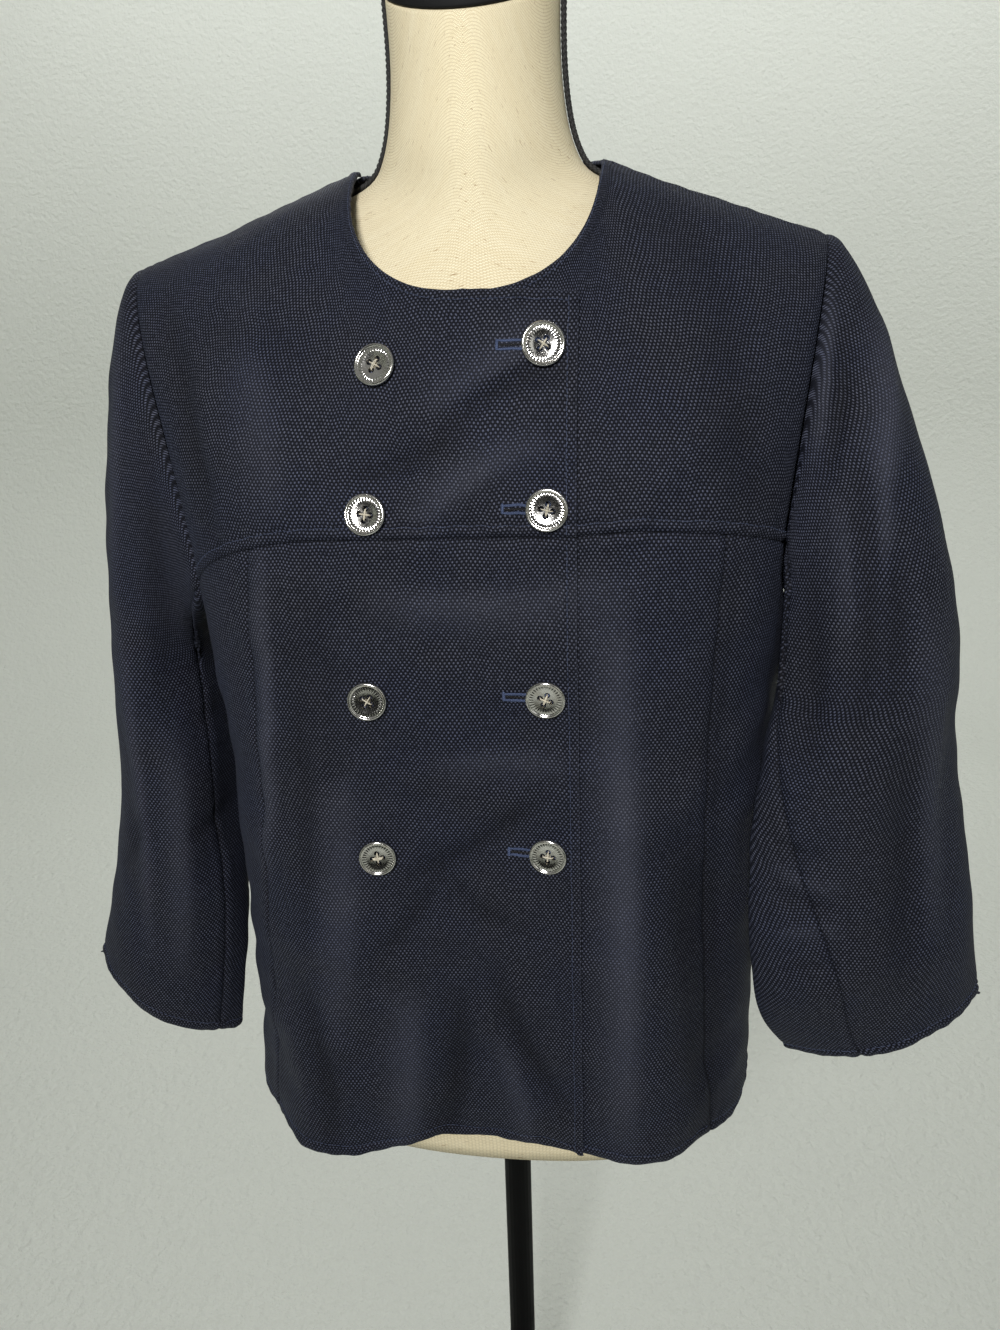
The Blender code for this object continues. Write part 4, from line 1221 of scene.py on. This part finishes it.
def makeBraid(name, side, material):
    top = form["rings"][-1][0] - 0.004
    heights = np.linspace(top, form["braidEnd"], 120)
    place = formPoint(pi / 2, heights)
    slope = formPoint(pi / 2, heights + 0.001) - formPoint(pi / 2, heights - 0.001)
    out = pointOf(slope[:, 2], 0, -slope[:, 0])
    out /= length3(out)
    centre = place + braid["stand"] * out
    centre[:, 0] *= side
    out[:, 0] *= side
    centre = settled(centre)
    run = arcOf(centre)
    fine = np.linspace(0, run[-1], int(run[-1] / 0.0008))
    centre = np.stack([np.interp(fine, run, centre[:, k]) for k in range(3)], -1)
    out = np.stack([np.interp(fine, run, out[:, k]) for k in range(3)], -1)
    way = np.gradient(centre, axis=0)
    way /= length3(way)
    sideways = np.cross(way, out)
    strands = []
    for strand in range(3):
        phase = 2 * pi * fine / braid["pitch"] + strand * 2 * pi / 3
        spine = centre + braid["aside"] * np.sin(phase)[:, None] * sideways
        spine = spine + braid["out"] * np.sin(2 * phase)[:, None] * out
        strands.append(tubePoints(spine, out, braid["strand"], braid["sides"]))
    mesh = tubeMesh(f"braid_{name}", strands, braid["sides"])
    addPiece(f"neckBraid_{name}", mesh, material, f"braid_{name}")


def tubePoints(spine, out, radius, sides):
    way = np.gradient(spine, axis=0)
    way /= length3(way)
    up = out - (out * way).sum(-1, keepdims=True) * way
    up /= length3(up)
    over = np.cross(way, up)
    turn = np.linspace(0, 2 * pi, sides, endpoint=False)
    ring = np.cos(turn)[None, :, None] * up[:, None] + np.sin(turn)[None, :, None] * over[:, None]
    return spine[:, None] + radius * ring


button = {
    "radius": 0.0125,
    "height": 0.0037,
    "sides": 256,
    "holeRadius": 0.00150,
    "holePlace": 0.00250,
    "sink": 0.0005,
    "dish": 0.0015,
    "boreSides": 28,
    "threads": 8,
    "threadSides": 7,
    "ticks": 32,
    "tickHigh": 0.00014,
    "tickBand": (0.0074, 0.0080, 0.0096, 0.0102),
    "rows": 4,
    "turns": {"left": (20, 38, 12, 52), "right": (10, 33, 24, 41)},
    "threadRadius": 0.00027,
}


def turnedButton():
    # profile from the back's middle, over the rim, the groove and the band, to the dish
    r, h = button["radius"], button["height"]
    profile = np.array(
        (
            (0.0004, 0.0),
            (0.0090, 0.0),
            (0.0112, 0.0004),
            (r - 0.0003, 0.0012),
            (r, 0.0019),
            (r, 0.0026),
            (r - 0.00025, 0.0032),
            (r - 0.0007, h - 0.0001),
            (r - 0.0011, h),
            (r - 0.0015, h - 0.0001),
            (r - 0.0019, h - 0.0006),
            (r - 0.0022, h - 0.0009),
            (0.0100, h - 0.0010),
            (0.0094, h - 0.00096),
            (0.0088, h - 0.00094),
            (0.0082, h - 0.00094),
            (0.0076, h - 0.00098),
            (0.0070, h - 0.00106),
            (0.0063, h - 0.00118),
            (0.0050, h - 0.00136),
            (0.0030, h - 0.00146),
            (0.0012, h - button["dish"]),
            (0.0004, h - button["dish"]),
        )
    )
    angle = np.linspace(0, 2 * pi, button["sides"], endpoint=False)
    wide, up = profile[:, :1], profile[:, 1:]
    low, full, fade, high = button["tickBand"]
    band = ease(wide, low, full) * (1 - ease(wide, fade, high)) * (up > h / 2)
    wave = ease(np.cos(angle * button["ticks"])[None], -0.15, 0.55)
    points = pointOf(wide * np.cos(angle), wide * np.sin(angle), up + band * wave * button["tickHigh"])
    mesh = gridMesh("button", points, closed=True)
    closeEnds(mesh, button["sides"], len(profile))
    body = bpy.data.objects.new("buttonBody", mesh)
    bpy.context.scene.collection.objects.link(body)
    cutters = []
    hole, place = button["holeRadius"], button["holePlace"]
    floor = h - button["dish"]
    edge = floor - button["sink"]
    bore = ((hole, -0.001), (hole, edge), (hole + 0.0003, floor - 0.0001), (hole + 0.0005, h))
    wideBore, deepBore = np.hsplit(np.array(bore), 2)
    for x, y in ((1, 1), (-1, 1), (-1, -1), (1, -1)):
        ring = np.linspace(0, 2 * pi, button["boreSides"], endpoint=False)
        points = pointOf(wideBore * np.cos(ring), wideBore * np.sin(ring), deepBore)
        points = points + (x * place, y * place, 0)
        cutter = gridMesh("buttonBore", points, closed=True)
        closeEnds(cutter, button["boreSides"], len(bore))
        cutters.append(bpy.data.objects.new("buttonBore", cutter))
        bpy.context.scene.collection.objects.link(cutters[-1])
        cut = body.modifiers.new("bore", "BOOLEAN")
        cut.object = cutters[-1]
        cut.solver = "EXACT"
    done = bpy.data.meshes.new_from_object(body.evaluated_get(bpy.context.evaluated_depsgraph_get()))
    for made in (body, *cutters):
        bpy.data.objects.remove(made)
    done.shade_smooth()
    done.set_sharp_from_angle(angle=radians(38))
    return done


def tubeMesh(name, tubes, sides):
    # tubes: a list of rings of points, each tube closed at its ends
    points, quads, caps, uvs = [], [], [], []
    start = 0
    for rings in tubes:
        rows = len(rings)
        index = start + indexGrid(rows, sides, closed=True)
        quads.append(quadsOf(index))
        caps.extend((index[0, :-1][::-1].tolist(), index[-1, :-1].tolist()))
        points.append(rings.reshape(-1, 3))
        centre = rings.mean(1)
        run = arcOf(centre)
        u = np.broadcast_to(np.arange(sides)[None] * 0.0003, (rows, sides))
        uvs.append(np.stack((u, np.broadcast_to(run[:, None], u.shape)), -1).reshape(-1, 2))
        start += rows * sides
    mesh = bpy.data.meshes.new(name)
    mesh.from_pydata(np.concatenate(points).tolist(), [], np.concatenate(quads).tolist() + caps)
    uv = np.concatenate(uvs)
    loops = np.empty(len(mesh.loops), int)
    mesh.loops.foreach_get("vertex_index", loops)
    mesh.uv_layers.new(name="cloth").data.foreach_set("uv", uv[loops].ravel())
    mesh.shade_smooth()
    return mesh


def frontHit(x, z):
    # the place on the outer face of the lap's panels at x and z, and its normal
    for name in ("frontYoke_left", "centreFront_left"):
        if "tree" not in panels[name]:
            points = panels[name]["points"]
            quads = quadsOf(indexGrid(*points.shape[:2]))
            panels[name]["tree"] = BVHTree.FromPolygons(points.reshape(-1, 3).tolist(), quads.tolist())
        place, normal, _, _ = panels[name]["tree"].ray_cast(Vector((x, -1, z)), Vector((0, 1, 0)))
        if place:
            normal = normal if normal.y < 0 else -normal
            return np.array(place), np.array(normal)
    raise ValueError(f"no cloth at {x}, {z}")


def smoothNormal(x, z, reach=0.006):
    around = ((-1, 0), (1, 0), (0, -1), (0, 1))
    corners = [frontHit(x + a * reach, z + b * reach)[0] for a, b in around]
    normal = np.cross(corners[1] - corners[0], corners[3] - corners[2])
    return normal / np.linalg.norm(normal)


def makeButtons():
    shape = turnedButton()
    for rowNumber in range(button["rows"]):
        for side in ("left", "right"):
            node = f"button_{side}_{rowNumber + 1}"
            low, high = (Vector(corner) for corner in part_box(node))
            middle = np.array((low + high) / 2)
            normal = smoothNormal(middle[0], middle[2])
            turn = Vector(normal).to_track_quat("Z", "Y").to_matrix().to_4x4()
            spin = Matrix.Rotation(radians(button["turns"][side][rowNumber]), 4, "Z")
            base = middle - normal * (button["height"] / 2)
            under = frontHit(middle[0], middle[2])[0]
            gap = (base - under) @ normal
            base = base + normal * max(0.00025 - gap, 0)
            place = Matrix.Translation(base) @ turn @ spin
            mesh = shape.copy()
            mesh.transform(place)
            addPiece(f"buttonDisc_{side}_{rowNumber + 1}", mesh, polishedSilver, node)
            threads = crossThreads(np.random.default_rng(40 + rowNumber * 2 + (side == "left")))
            sewn = tubeMesh("buttonThread", threads, button["threadSides"])
            sewn.transform(place)
            addPiece(f"buttonThread_{side}_{rowNumber + 1}", sewn, ecruThread)


def crossThreads(random):
    # strands that come up one hole and go down the one across, bunched to a knot in the middle
    tubes = []
    place, floor = button["holePlace"], button["height"] - button["dish"]
    for strand in range(button["threads"]):
        turn = pi / 4 + (strand % 2) * pi / 2
        offset = random.normal(0, 0.00034)
        t = np.linspace(-1, 1, 25)
        reach = place * sqrt(2) * 1.02
        high = floor + 0.00060 + 0.00016 * (strand // 2) + random.uniform(0, 0.0001)
        along, aside = t * reach, offset * (1 - 0.55 * t**2)
        up = np.where(np.abs(t) > 0.80, high - (np.abs(t) - 0.80) / 0.20 * 0.0021, high)
        up = up + 0.00030 * np.exp(-((t / 0.35) ** 2))
        spine = pointOf(along * cos(turn) - aside * sin(turn), along * sin(turn) + aside * cos(turn), up)
        facing = pointOf(0 * t, 0.02, 1)
        tubes.append(tubePoints(spine, facing, button["threadRadius"], button["threadSides"]))
    return tubes


buttonhole = {
    "long": (-0.0262, 0.0015),
    "half": 0.0022,
    "bead": 0.00085,
    "bar": 0.0032,
    "pitch": 0.00052,
    "sides": 10,
    "lift": 0.00005,
}


def makeButtonholes():
    # two satin-stitched beads along the slit, closed by a bar tack at each end, and a thin black tube along
    # the slit as painted shade in the cut
    s = buttonhole
    for rowNumber in range(button["rows"]):
        low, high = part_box(f"button_right_{rowNumber + 1}")
        x, z = (low[0] + high[0]) / 2, (low[2] + high[2]) / 2
        start, end = x + s["long"][0], x + s["long"][1]
        runs = [
            ((start, z - s["half"]), (end, z - s["half"]), s["bead"]),
            ((start, z + s["half"]), (end, z + s["half"]), s["bead"]),
            ((start, z - s["bar"]), (start, z + s["bar"]), s["bead"] * 1.05),
            ((end, z - s["bar"]), (end, z + s["bar"]), s["bead"] * 1.05),
            ((start, z), (end, z), s["bead"] * 0.62),
        ]
        tubes = []
        random = np.random.default_rng(60 + rowNumber)
        for first, last, thick in runs:
            size = np.hypot(last[0] - first[0], last[1] - first[1])
            count = int(size / s["pitch"] * 4)
            share = np.linspace(0, 1, count)
            sway = 0.00018 * np.interp(share, np.linspace(0, 1, 7), random.normal(size=7))
            hits = [
                frontHit(first[0] + (last[0] - first[0]) * t, first[1] + (last[1] - first[1]) * t + w)
                for t, w in zip(share, sway)
            ]
            places, normals = (np.array(part) for part in zip(*hits))
            stitches = 1 + 0.20 * np.cos(2 * pi * np.arange(count) / 4)[:, None, None]
            spine = places + s["lift"] * normals
            rings = tubePoints(spine, normals, 1.0, s["sides"]) - spine[:, None]
            ends = np.sqrt(np.clip(1 - (2 * share - 1) ** 8, 0.02, 1))[:, None, None]
            rings = spine[:, None] + rings * thick * stitches * ends
            tubes.append(rings)
        # the middle run becomes a black tube: painted shade in the cut between the beads
        dark = tubes.pop()
        sewn = tubeMesh("buttonhole", tubes, s["sides"])
        slit = tubeMesh("slit", [dark], s["sides"])
        addPiece(f"buttonhole_{rowNumber + 1}", sewn, buttonholeThread)
        addPiece(f"buttonholeSlitShade_{rowNumber + 1}", slit, blackCloth)


stitch = {
    "pitch": 0.0034,
    "long": 0.0025,
    "thick": 0.00030,
    "proud": 0.00012,
    "sides": 6,
    "rings": 7,
}


def lineInside(points, normal, edge, far):
    # the line at a distance from one edge of a grid, walked in along its rows or columns
    if edge == "last column":
        points, normal = points.swapaxes(0, 1), normal.swapaxes(0, 1)
    if edge != "first row":
        points, normal = points[::-1], normal[::-1]
    run = runAlong(points[:14], 0)
    after = np.clip((run < far).sum(0), 1, len(run) - 1)
    every = np.arange(points.shape[1])
    low, high = run[after - 1, every], run[after, every]
    share = np.clip((far - low) / np.maximum(high - low, 1e-9), 0, 1)[:, None]
    place = points[after - 1, every] + (points[after, every] - points[after - 1, every]) * share
    out = normal[after - 1, every] + (normal[after, every] - normal[after - 1, every]) * share
    return place, out / length3(out)


def stitchTubes(place, out, seed, skip=0.002):
    random = np.random.default_rng(seed)
    run = arcOf(place)
    s = stitch
    count = int((run[-1] - 2 * skip) / s["pitch"])
    tubes = []
    for number in range(count):
        start = skip + number * s["pitch"] + random.uniform(-0.00012, 0.00012)
        t = np.linspace(0, 1, s["rings"])
        at = start + t * s["long"] * random.uniform(0.9, 1.06)
        spine = np.stack([np.interp(at, run, place[:, k]) for k in range(3)], -1)
        way = np.stack([np.interp(at, run, out[:, k]) for k in range(3)], -1)
        arch = s["proud"] * 1.6 - (2 * t - 1) ** 4 * (s["thick"] + s["proud"] * 1.8)
        spine = spine + way * arch[:, None]
        tubes.append(tubePoints(spine, way, s["thick"], s["sides"]))
    return tubes


def makeStitching():
    order = ("yoke", "neckline", "lapEdge", "frontHem", "backHem", "backNeck", "cuff_left", "cuff_right")
    lines = {name: [] for name in order}
    far = {kind: edgeKinds[kind]["stitchAt"] for kind in edgeKinds}

    def grid(name):
        return panels[name]["points"], panels[name]["normal"]

    for name in ("left", "right"):
        lines["yoke"].append(lineInside(*grid(f"frontYoke_{name}"), "first row", far["stitched"]))
        place, out = lineInside(*grid(f"frontYoke_{name}"), "last row", far["edge"])
        onNeck = panels[f"frontYoke_{name}"]["onNeck"]
        lines["neckline"].append((place[onNeck], out[onNeck]))
        for piece in ("centreFront", "sideFront"):
            lines["frontHem"].append(lineInside(*grid(f"{piece}_{name}"), "first row", far["hem"]))
        for piece in ("upper", "under"):
            lines[f"cuff_{name}"].append(lineInside(*grid(f"{piece}Sleeve_{name}"), "last row", far["hem"]))
    for piece in ("frontYoke_left", "centreFront_left"):
        lines["lapEdge"].append(lineInside(*grid(piece), "last column", far["edge"]))
    lines["backHem"].append(lineInside(*grid("backPanel"), "first row", far["hem"]))
    back = panels["backPanel"]
    above = back["above"]
    place, out = lineInside(above, gridNormal(above), "last row", far["edge"])
    lines["backNeck"].append((place[back["onNeck"]], out[back["onNeck"]]))
    for seed, (name, found) in enumerate(lines.items()):
        tubes = []
        for place, out in found:
            tubes.extend(stitchTubes(place, out, 90 + seed))
        addPiece(f"stitching_{name}", tubeMesh("stitching", tubes, stitch["sides"]), navyThread)


# woven cloth: thread pitches in metres, thread colours, the hole colour as painted shade in the gaps between
# threads, a highlight colour painted on the thread crowns, unevenness and relief
navyWeave = {
    "warp": 0.00132,
    "weft": 0.00196,
    "hole": (0.0011, 0.0012, 0.0026),
    "warpColour": (0.0036, 0.0041, 0.0076),
    "weftColour": (0.0082, 0.0094, 0.0158),
    "highlightColour": (0.090, 0.095, 0.127),
    "streak": 0.03,
    "wander": 0.0040,
    "wanderSize": 0.085,
    "slub": 0.34,
    "relief": 0.00042,
    "float": 0.46,
    "cloudColour": (0.70, 0.82, 1.12),
    "roughness": (0.62, 0.86),
}
creamWeave = {
    "warp": 0.00082,
    "weft": 0.00088,
    "hole": (0.34, 0.26, 0.145),
    "warpColour": (0.70, 0.60, 0.395),
    "weftColour": (0.80, 0.71, 0.485),
    "highlightColour": (0.93, 0.86, 0.64),
    "streak": 0.16,
    "fleck": (0.30, 0.17, 0.07),
    "wander": 0.0010,
    "wanderSize": 0.040,
    "slub": 0.60,
    "relief": 0.00016,
    "float": 0.30,
    "cloudColour": (0.96, 0.93, 0.88),
    "roughness": (0.72, 0.92),
}
blackWeave = {
    "warp": 0.00070,
    "weft": 0.00070,
    "hole": (0.002, 0.002, 0.002),
    "warpColour": (0.010, 0.010, 0.011),
    "weftColour": (0.016, 0.016, 0.017),
    "highlightColour": (0.035, 0.035, 0.037),
    "streak": 0.10,
    "wander": 0.0006,
    "wanderSize": 0.030,
    "slub": 0.35,
    "relief": 0.00014,
    "float": 0.30,
    "cloudColour": (1.3, 1.25, 1.2),
    "roughness": (0.55, 0.80),
}


def wovenPaint(name, s, sheen=0.0, tint=(1, 1, 1)):
    paint = Paint(name)
    where = paint.uv()
    drift = paint.noise(where, 1 / s["wanderSize"], 3, 0.55, colour=True)
    drift = paint.vector("SUBTRACT", drift, (0.5, 0.5, 0.5))
    shifted = paint.vector("MULTIPLY_ADD", drift, (s["wander"] * 2,) * 3, where)
    u, v, _ = paint.split(shifted)
    acrossCount, upCount = u / s["warp"], v / s["weft"]
    column, row = acrossCount.floor(), upCount.floor()
    parity = ((column + row) * pi).cos()
    # thickness along each single thread
    weftSlub = paint.noise(paint.join(u * 150, row * 5.3), 1.0, 2, 0.6)
    warpSlub = paint.noise(paint.join(column * 5.3, v * 150, 7.0), 1.0, 2, 0.6)
    weftWave = abs((upCount * pi).sin()) ** 0.6
    warpWave = abs((acrossCount * pi).sin()) ** 0.6
    weft = weftWave * (1 - s["float"] + parity * abs((acrossCount * pi).sin()) * s["float"])
    warp = warpWave * (1 - s["float"] - parity * abs((upCount * pi).sin()) * s["float"])
    weft = weft * (1 - s["slub"] / 2 + weftSlub * s["slub"])
    warp = warp * (0.92 - s["slub"] / 2 + warpSlub * s["slub"])
    height = weft.atLeast(warp)
    onTop = (weft - warp).between(-0.10, 0.14)
    thread = paint.mix(onTop, s["warpColour"], s["weftColour"])
    # a painted highlight on the crowns of the threads on top, stronger in random patches
    lit = paint.noise(where, 260, 2, 0.5).between(0.30, 0.62)
    glint = (height.between(0.42, 0.95) * onTop * (0.45 + lit * 0.55)).clamp()
    thread = paint.mix(glint, thread, s["highlightColour"])
    # the gaps between threads take the hole colour, a painted shade
    colour = paint.mix(height.between(0.20, 0.62), s["hole"], thread)
    # soft clouds where the dye and the nap differ
    cloud = paint.noise(where, 14, 4, 0.6).between(0.30, 0.72)
    colour = paint.mix(cloud * 0.55, colour, s["cloudColour"], "MULTIPLY")
    streak = paint.noise(paint.join(u * 9, row * 0.9), 1.0, 2, 0.5).between(0.35, 0.75)
    colour = paint.mix(streak * s["streak"], colour, s["weftColour"], "SCREEN")
    if "fleck" in s:
        fleck = paint.noise(paint.join(u * 340, v * 900), 1.0, 1, 0.4).between(0.70, 0.76)
        colour = paint.mix(fleck * 0.75, colour, s["fleck"])
    # painted shade along seams, stitched grooves and fold troughs, towards the hole colour; painted
    # highlight on fold ridges and paler pressed edges, towards the highlight colour
    shade = paint.node("ShaderNodeAttribute", {"attribute_name": "seamShade"})[2]
    colour = paint.mix((-shade).clamp(), colour, s["hole"])
    colour = paint.mix((shade * 0.5).clamp(), colour, s["highlightColour"])
    low, high = s["roughness"]
    rough = high - height * (high - low)
    fuzz = paint.noise(where, 5200, 2, 0.6)
    normal = paint.bump(height + fuzz * 0.10, s["relief"], 1.0)
    paint.shader.inputs["Sheen Weight"].default_value = sheen
    paint.shader.inputs["Sheen Roughness"].default_value = 0.45
    paint.shader.inputs["Sheen Tint"].default_value = (*tint, 1)
    paint.shader.inputs["Specular IOR Level"].default_value = 0.16
    return paint.finish(Base_Color=colour, Roughness=rough, Normal=normal)


def threadPaint(name, dark, light, twist, rough=0.6):
    # thread or yarn: plies lie across its uv with painted shade in the grooves between them, worn paler in
    # patches
    paint = Paint(name)
    u, v, _ = paint.split(paint.uv())
    ply = abs(((u * twist + v * twist * 0.55) * pi).sin())
    where = paint.place()
    patch = paint.noise(where, 260, 3, 0.6)
    colour = paint.mix((ply * 0.65 + patch * 0.5).between(0.15, 0.95), dark, light)
    normal = paint.bump(ply + paint.noise(where, 6000, 2, 0.5) * 0.25, 0.00018, 0.8)
    paint.shader.inputs["Specular IOR Level"].default_value = 0.4
    return paint.finish(Base_Color=colour, Roughness=rough + patch * 0.2, Normal=normal)


def silverPaint():
    paint = Paint("polishedSilver")
    where = paint.place()
    stain = paint.noise(where, 190, 4, 0.6)
    colour = paint.mix(stain.between(0.40, 0.80), (0.80, 0.785, 0.75), (0.58, 0.545, 0.49))
    x, y, z = paint.split(where)
    scratch = paint.noise(paint.join(x * 900, z * 5200, y * 900), 1.0, 3, 0.6).between(0.62, 0.72)
    wear = paint.noise(where, 900, 3, 0.6).between(0.45, 0.80)
    rough = 0.130 + wear * 0.10 + scratch * 0.18 + stain.between(0.5, 0.9) * 0.10
    normal = paint.bump(stain * 0.6 - scratch * 0.2, 0.00010, 0.35)
    paint.shader.inputs["Metallic"].default_value = 1.0
    return paint.finish(Base_Color=colour, Roughness=rough, Normal=normal)


def metalPaint():
    # powder-coated steel of the stand
    paint = Paint("blackMetal")
    where = paint.place()
    grain = paint.noise(where, 1500, 3, 0.6)
    dust = paint.noise(where, 30, 5, 0.65).between(0.50, 0.85)
    colour = paint.mix(dust * 0.6, (0.0020, 0.0020, 0.0020), (0.0055, 0.0055, 0.0055))
    normal = paint.bump(grain, 0.00025, 0.5)
    paint.shader.inputs["Specular IOR Level"].default_value = 0.08
    rough = 0.50 + dust * 0.22 + grain * 0.10
    return paint.finish(Base_Color=colour, Roughness=rough, Normal=normal)


def stagePaint():
    paint = Paint("paleStage")
    where = paint.place()
    patch = paint.noise(where, 1.3, 3, 0.5)
    skin = paint.noise(where, 70, 4, 0.60)
    colour = paint.mix(patch, (0.560, 0.580, 0.535), (0.600, 0.620, 0.572))
    return paint.finish(Base_Color=colour, Roughness=0.9, Normal=paint.bump(skin, 0.012, 0.60))


navyLinen = wovenPaint("navyLinen", navyWeave, 0.02, (0.50, 0.62, 1.0))
creamLinen = wovenPaint("creamLinen", creamWeave, 0.05, (1.0, 0.95, 0.85))
blackCloth = wovenPaint("blackCloth", blackWeave)
braidPaint = threadPaint("blackBraid", (0.004, 0.004, 0.004), (0.028, 0.027, 0.026), 1400)
navyThread = threadPaint("navyThread", (0.016, 0.021, 0.045), (0.062, 0.078, 0.135), 1500)
buttonholeThread = threadPaint("buttonholeThread", (0.020, 0.030, 0.070), (0.085, 0.115, 0.215), 1900)
ecruThread = threadPaint("ecruThread", (0.33, 0.28, 0.19), (0.80, 0.74, 0.60), 1900)
polishedSilver = silverPaint()
blackMetal = metalPaint()

placeCamera()
makeBody(navyLinen)
print("body panels made")
makeBack(navyLinen)
makeSleeves(navyLinen)
print("sleeves made")
makeForm(creamLinen, blackCloth, braidPaint)
for node in ("pole", "base_plate", "base_collar"):
    frame["nodes"][node].data.materials.clear()
    frame["nodes"][node].data.materials.append(blackMetal)
print("form and stand made")
makeButtons()
makeButtonholes()
makeStitching()
print("buttons, buttonholes and stitching made")

stage = {
    "floor": 2.3,
    "cove": 0.9,
    "height": 3.4,
    "sides": 72,
    "down": 0.0012,
    "flag": {"half": 1.1, "low": 0.25, "high": 2.3, "y": -2.1, "bend": 0.35},
}
light = {
    "key": {"place": (-0.05, -1.50, 1.76), "aim": (0.0, 0.0, 1.02), "size": (0.34, 0.34), "power": 27.5},
    "fill": {"place": (1.3, -1.9, 1.7), "aim": (0.0, 0.0, 0.9), "size": (1.4, 1.4), "power": 4},
    "back": {"place": (-0.6, 1.9, 2.4), "aim": (0.0, 0.0, 1.0), "size": (0.9, 0.9), "power": 14},
    "wall": {"place": (0.0, 1.3, 3.1), "aim": (0.0, 3.2, 1.5), "size": (3.0, 0.5), "power": 60},
    "sky": (0.92, 0.92, 0.88),
    "skyPower": 0.21,
}


def addLight(name):
    s = light[name]
    data = bpy.data.lights.new(name, "AREA")
    data.shape = "RECTANGLE"
    data.size, data.size_y = s["size"]
    data.energy = s["power"]
    made = bpy.data.objects.new(name, data)
    made.location = s["place"]
    made.rotation_mode = "QUATERNION"
    made.rotation_quaternion = (Vector(s["aim"]) - Vector(s["place"])).to_track_quat("-Z", "Y")
    bpy.context.scene.collection.objects.link(made)


def addStage(name, mesh):
    made = bpy.data.objects.new(name, mesh)
    bpy.context.scene.collection.objects.link(made)


def makeStage():
    # floor, cove and wall all round, open above
    turn = np.linspace(0, pi / 2, 13)
    bend = stage["floor"] + stage["cove"] * np.sin(turn)
    radius = np.concatenate(([0.02, 0.6, 1.4], bend, bend[-1:]))
    z = np.concatenate(([0, 0, 0], stage["cove"] * (1 - np.cos(turn)), [stage["height"]])) - stage["down"]
    angle = np.linspace(0, 2 * pi, stage["sides"], endpoint=False)
    points = pointOf(radius[:, None] * np.cos(angle), radius[:, None] * np.sin(angle), z[:, None])
    mesh = gridMesh("paleStage", points, closed=True)
    centre = bmesh.new()
    centre.from_mesh(mesh)
    centre.verts.ensure_lookup_table()
    centre.faces.new([centre.verts[k] for k in range(stage["sides"])])
    centre.to_mesh(mesh)
    centre.free()
    mesh.shade_smooth()
    mesh.materials.append(stagePaint())
    addStage("paleStage", mesh)


def makeFlag():
    # a dark cloth flag behind the camera, which the buttons mirror
    s = stage["flag"]
    across, up = np.linspace(-1, 1, 9), np.linspace(0, 1, 9)
    x, z = s["half"] * across[None] + 0 * up[:, None], s["low"] + s["high"] * up[:, None] + 0 * across[None]
    y = s["y"] + s["bend"] * across[None] ** 2 + 0 * up[:, None]
    mesh = gridMesh("darkFlag", pointOf(x, y, z), np.stack((x, z), -1))
    mesh.materials.append(blackCloth)
    addStage("darkFlag", mesh)


for name in ("key", "fill", "back", "wall"):
    addLight(name)
makeStage()
makeFlag()
bpy.context.scene.view_settings.view_transform = "Standard"
world = bpy.data.worlds.new("studio")
bpy.context.scene.world = world
world.use_nodes = True
background = world.node_tree.nodes["Background"]
background.inputs["Color"].default_value = (*light["sky"], 1)
background.inputs["Strength"].default_value = light["skyPower"]
print("stage and lights made")
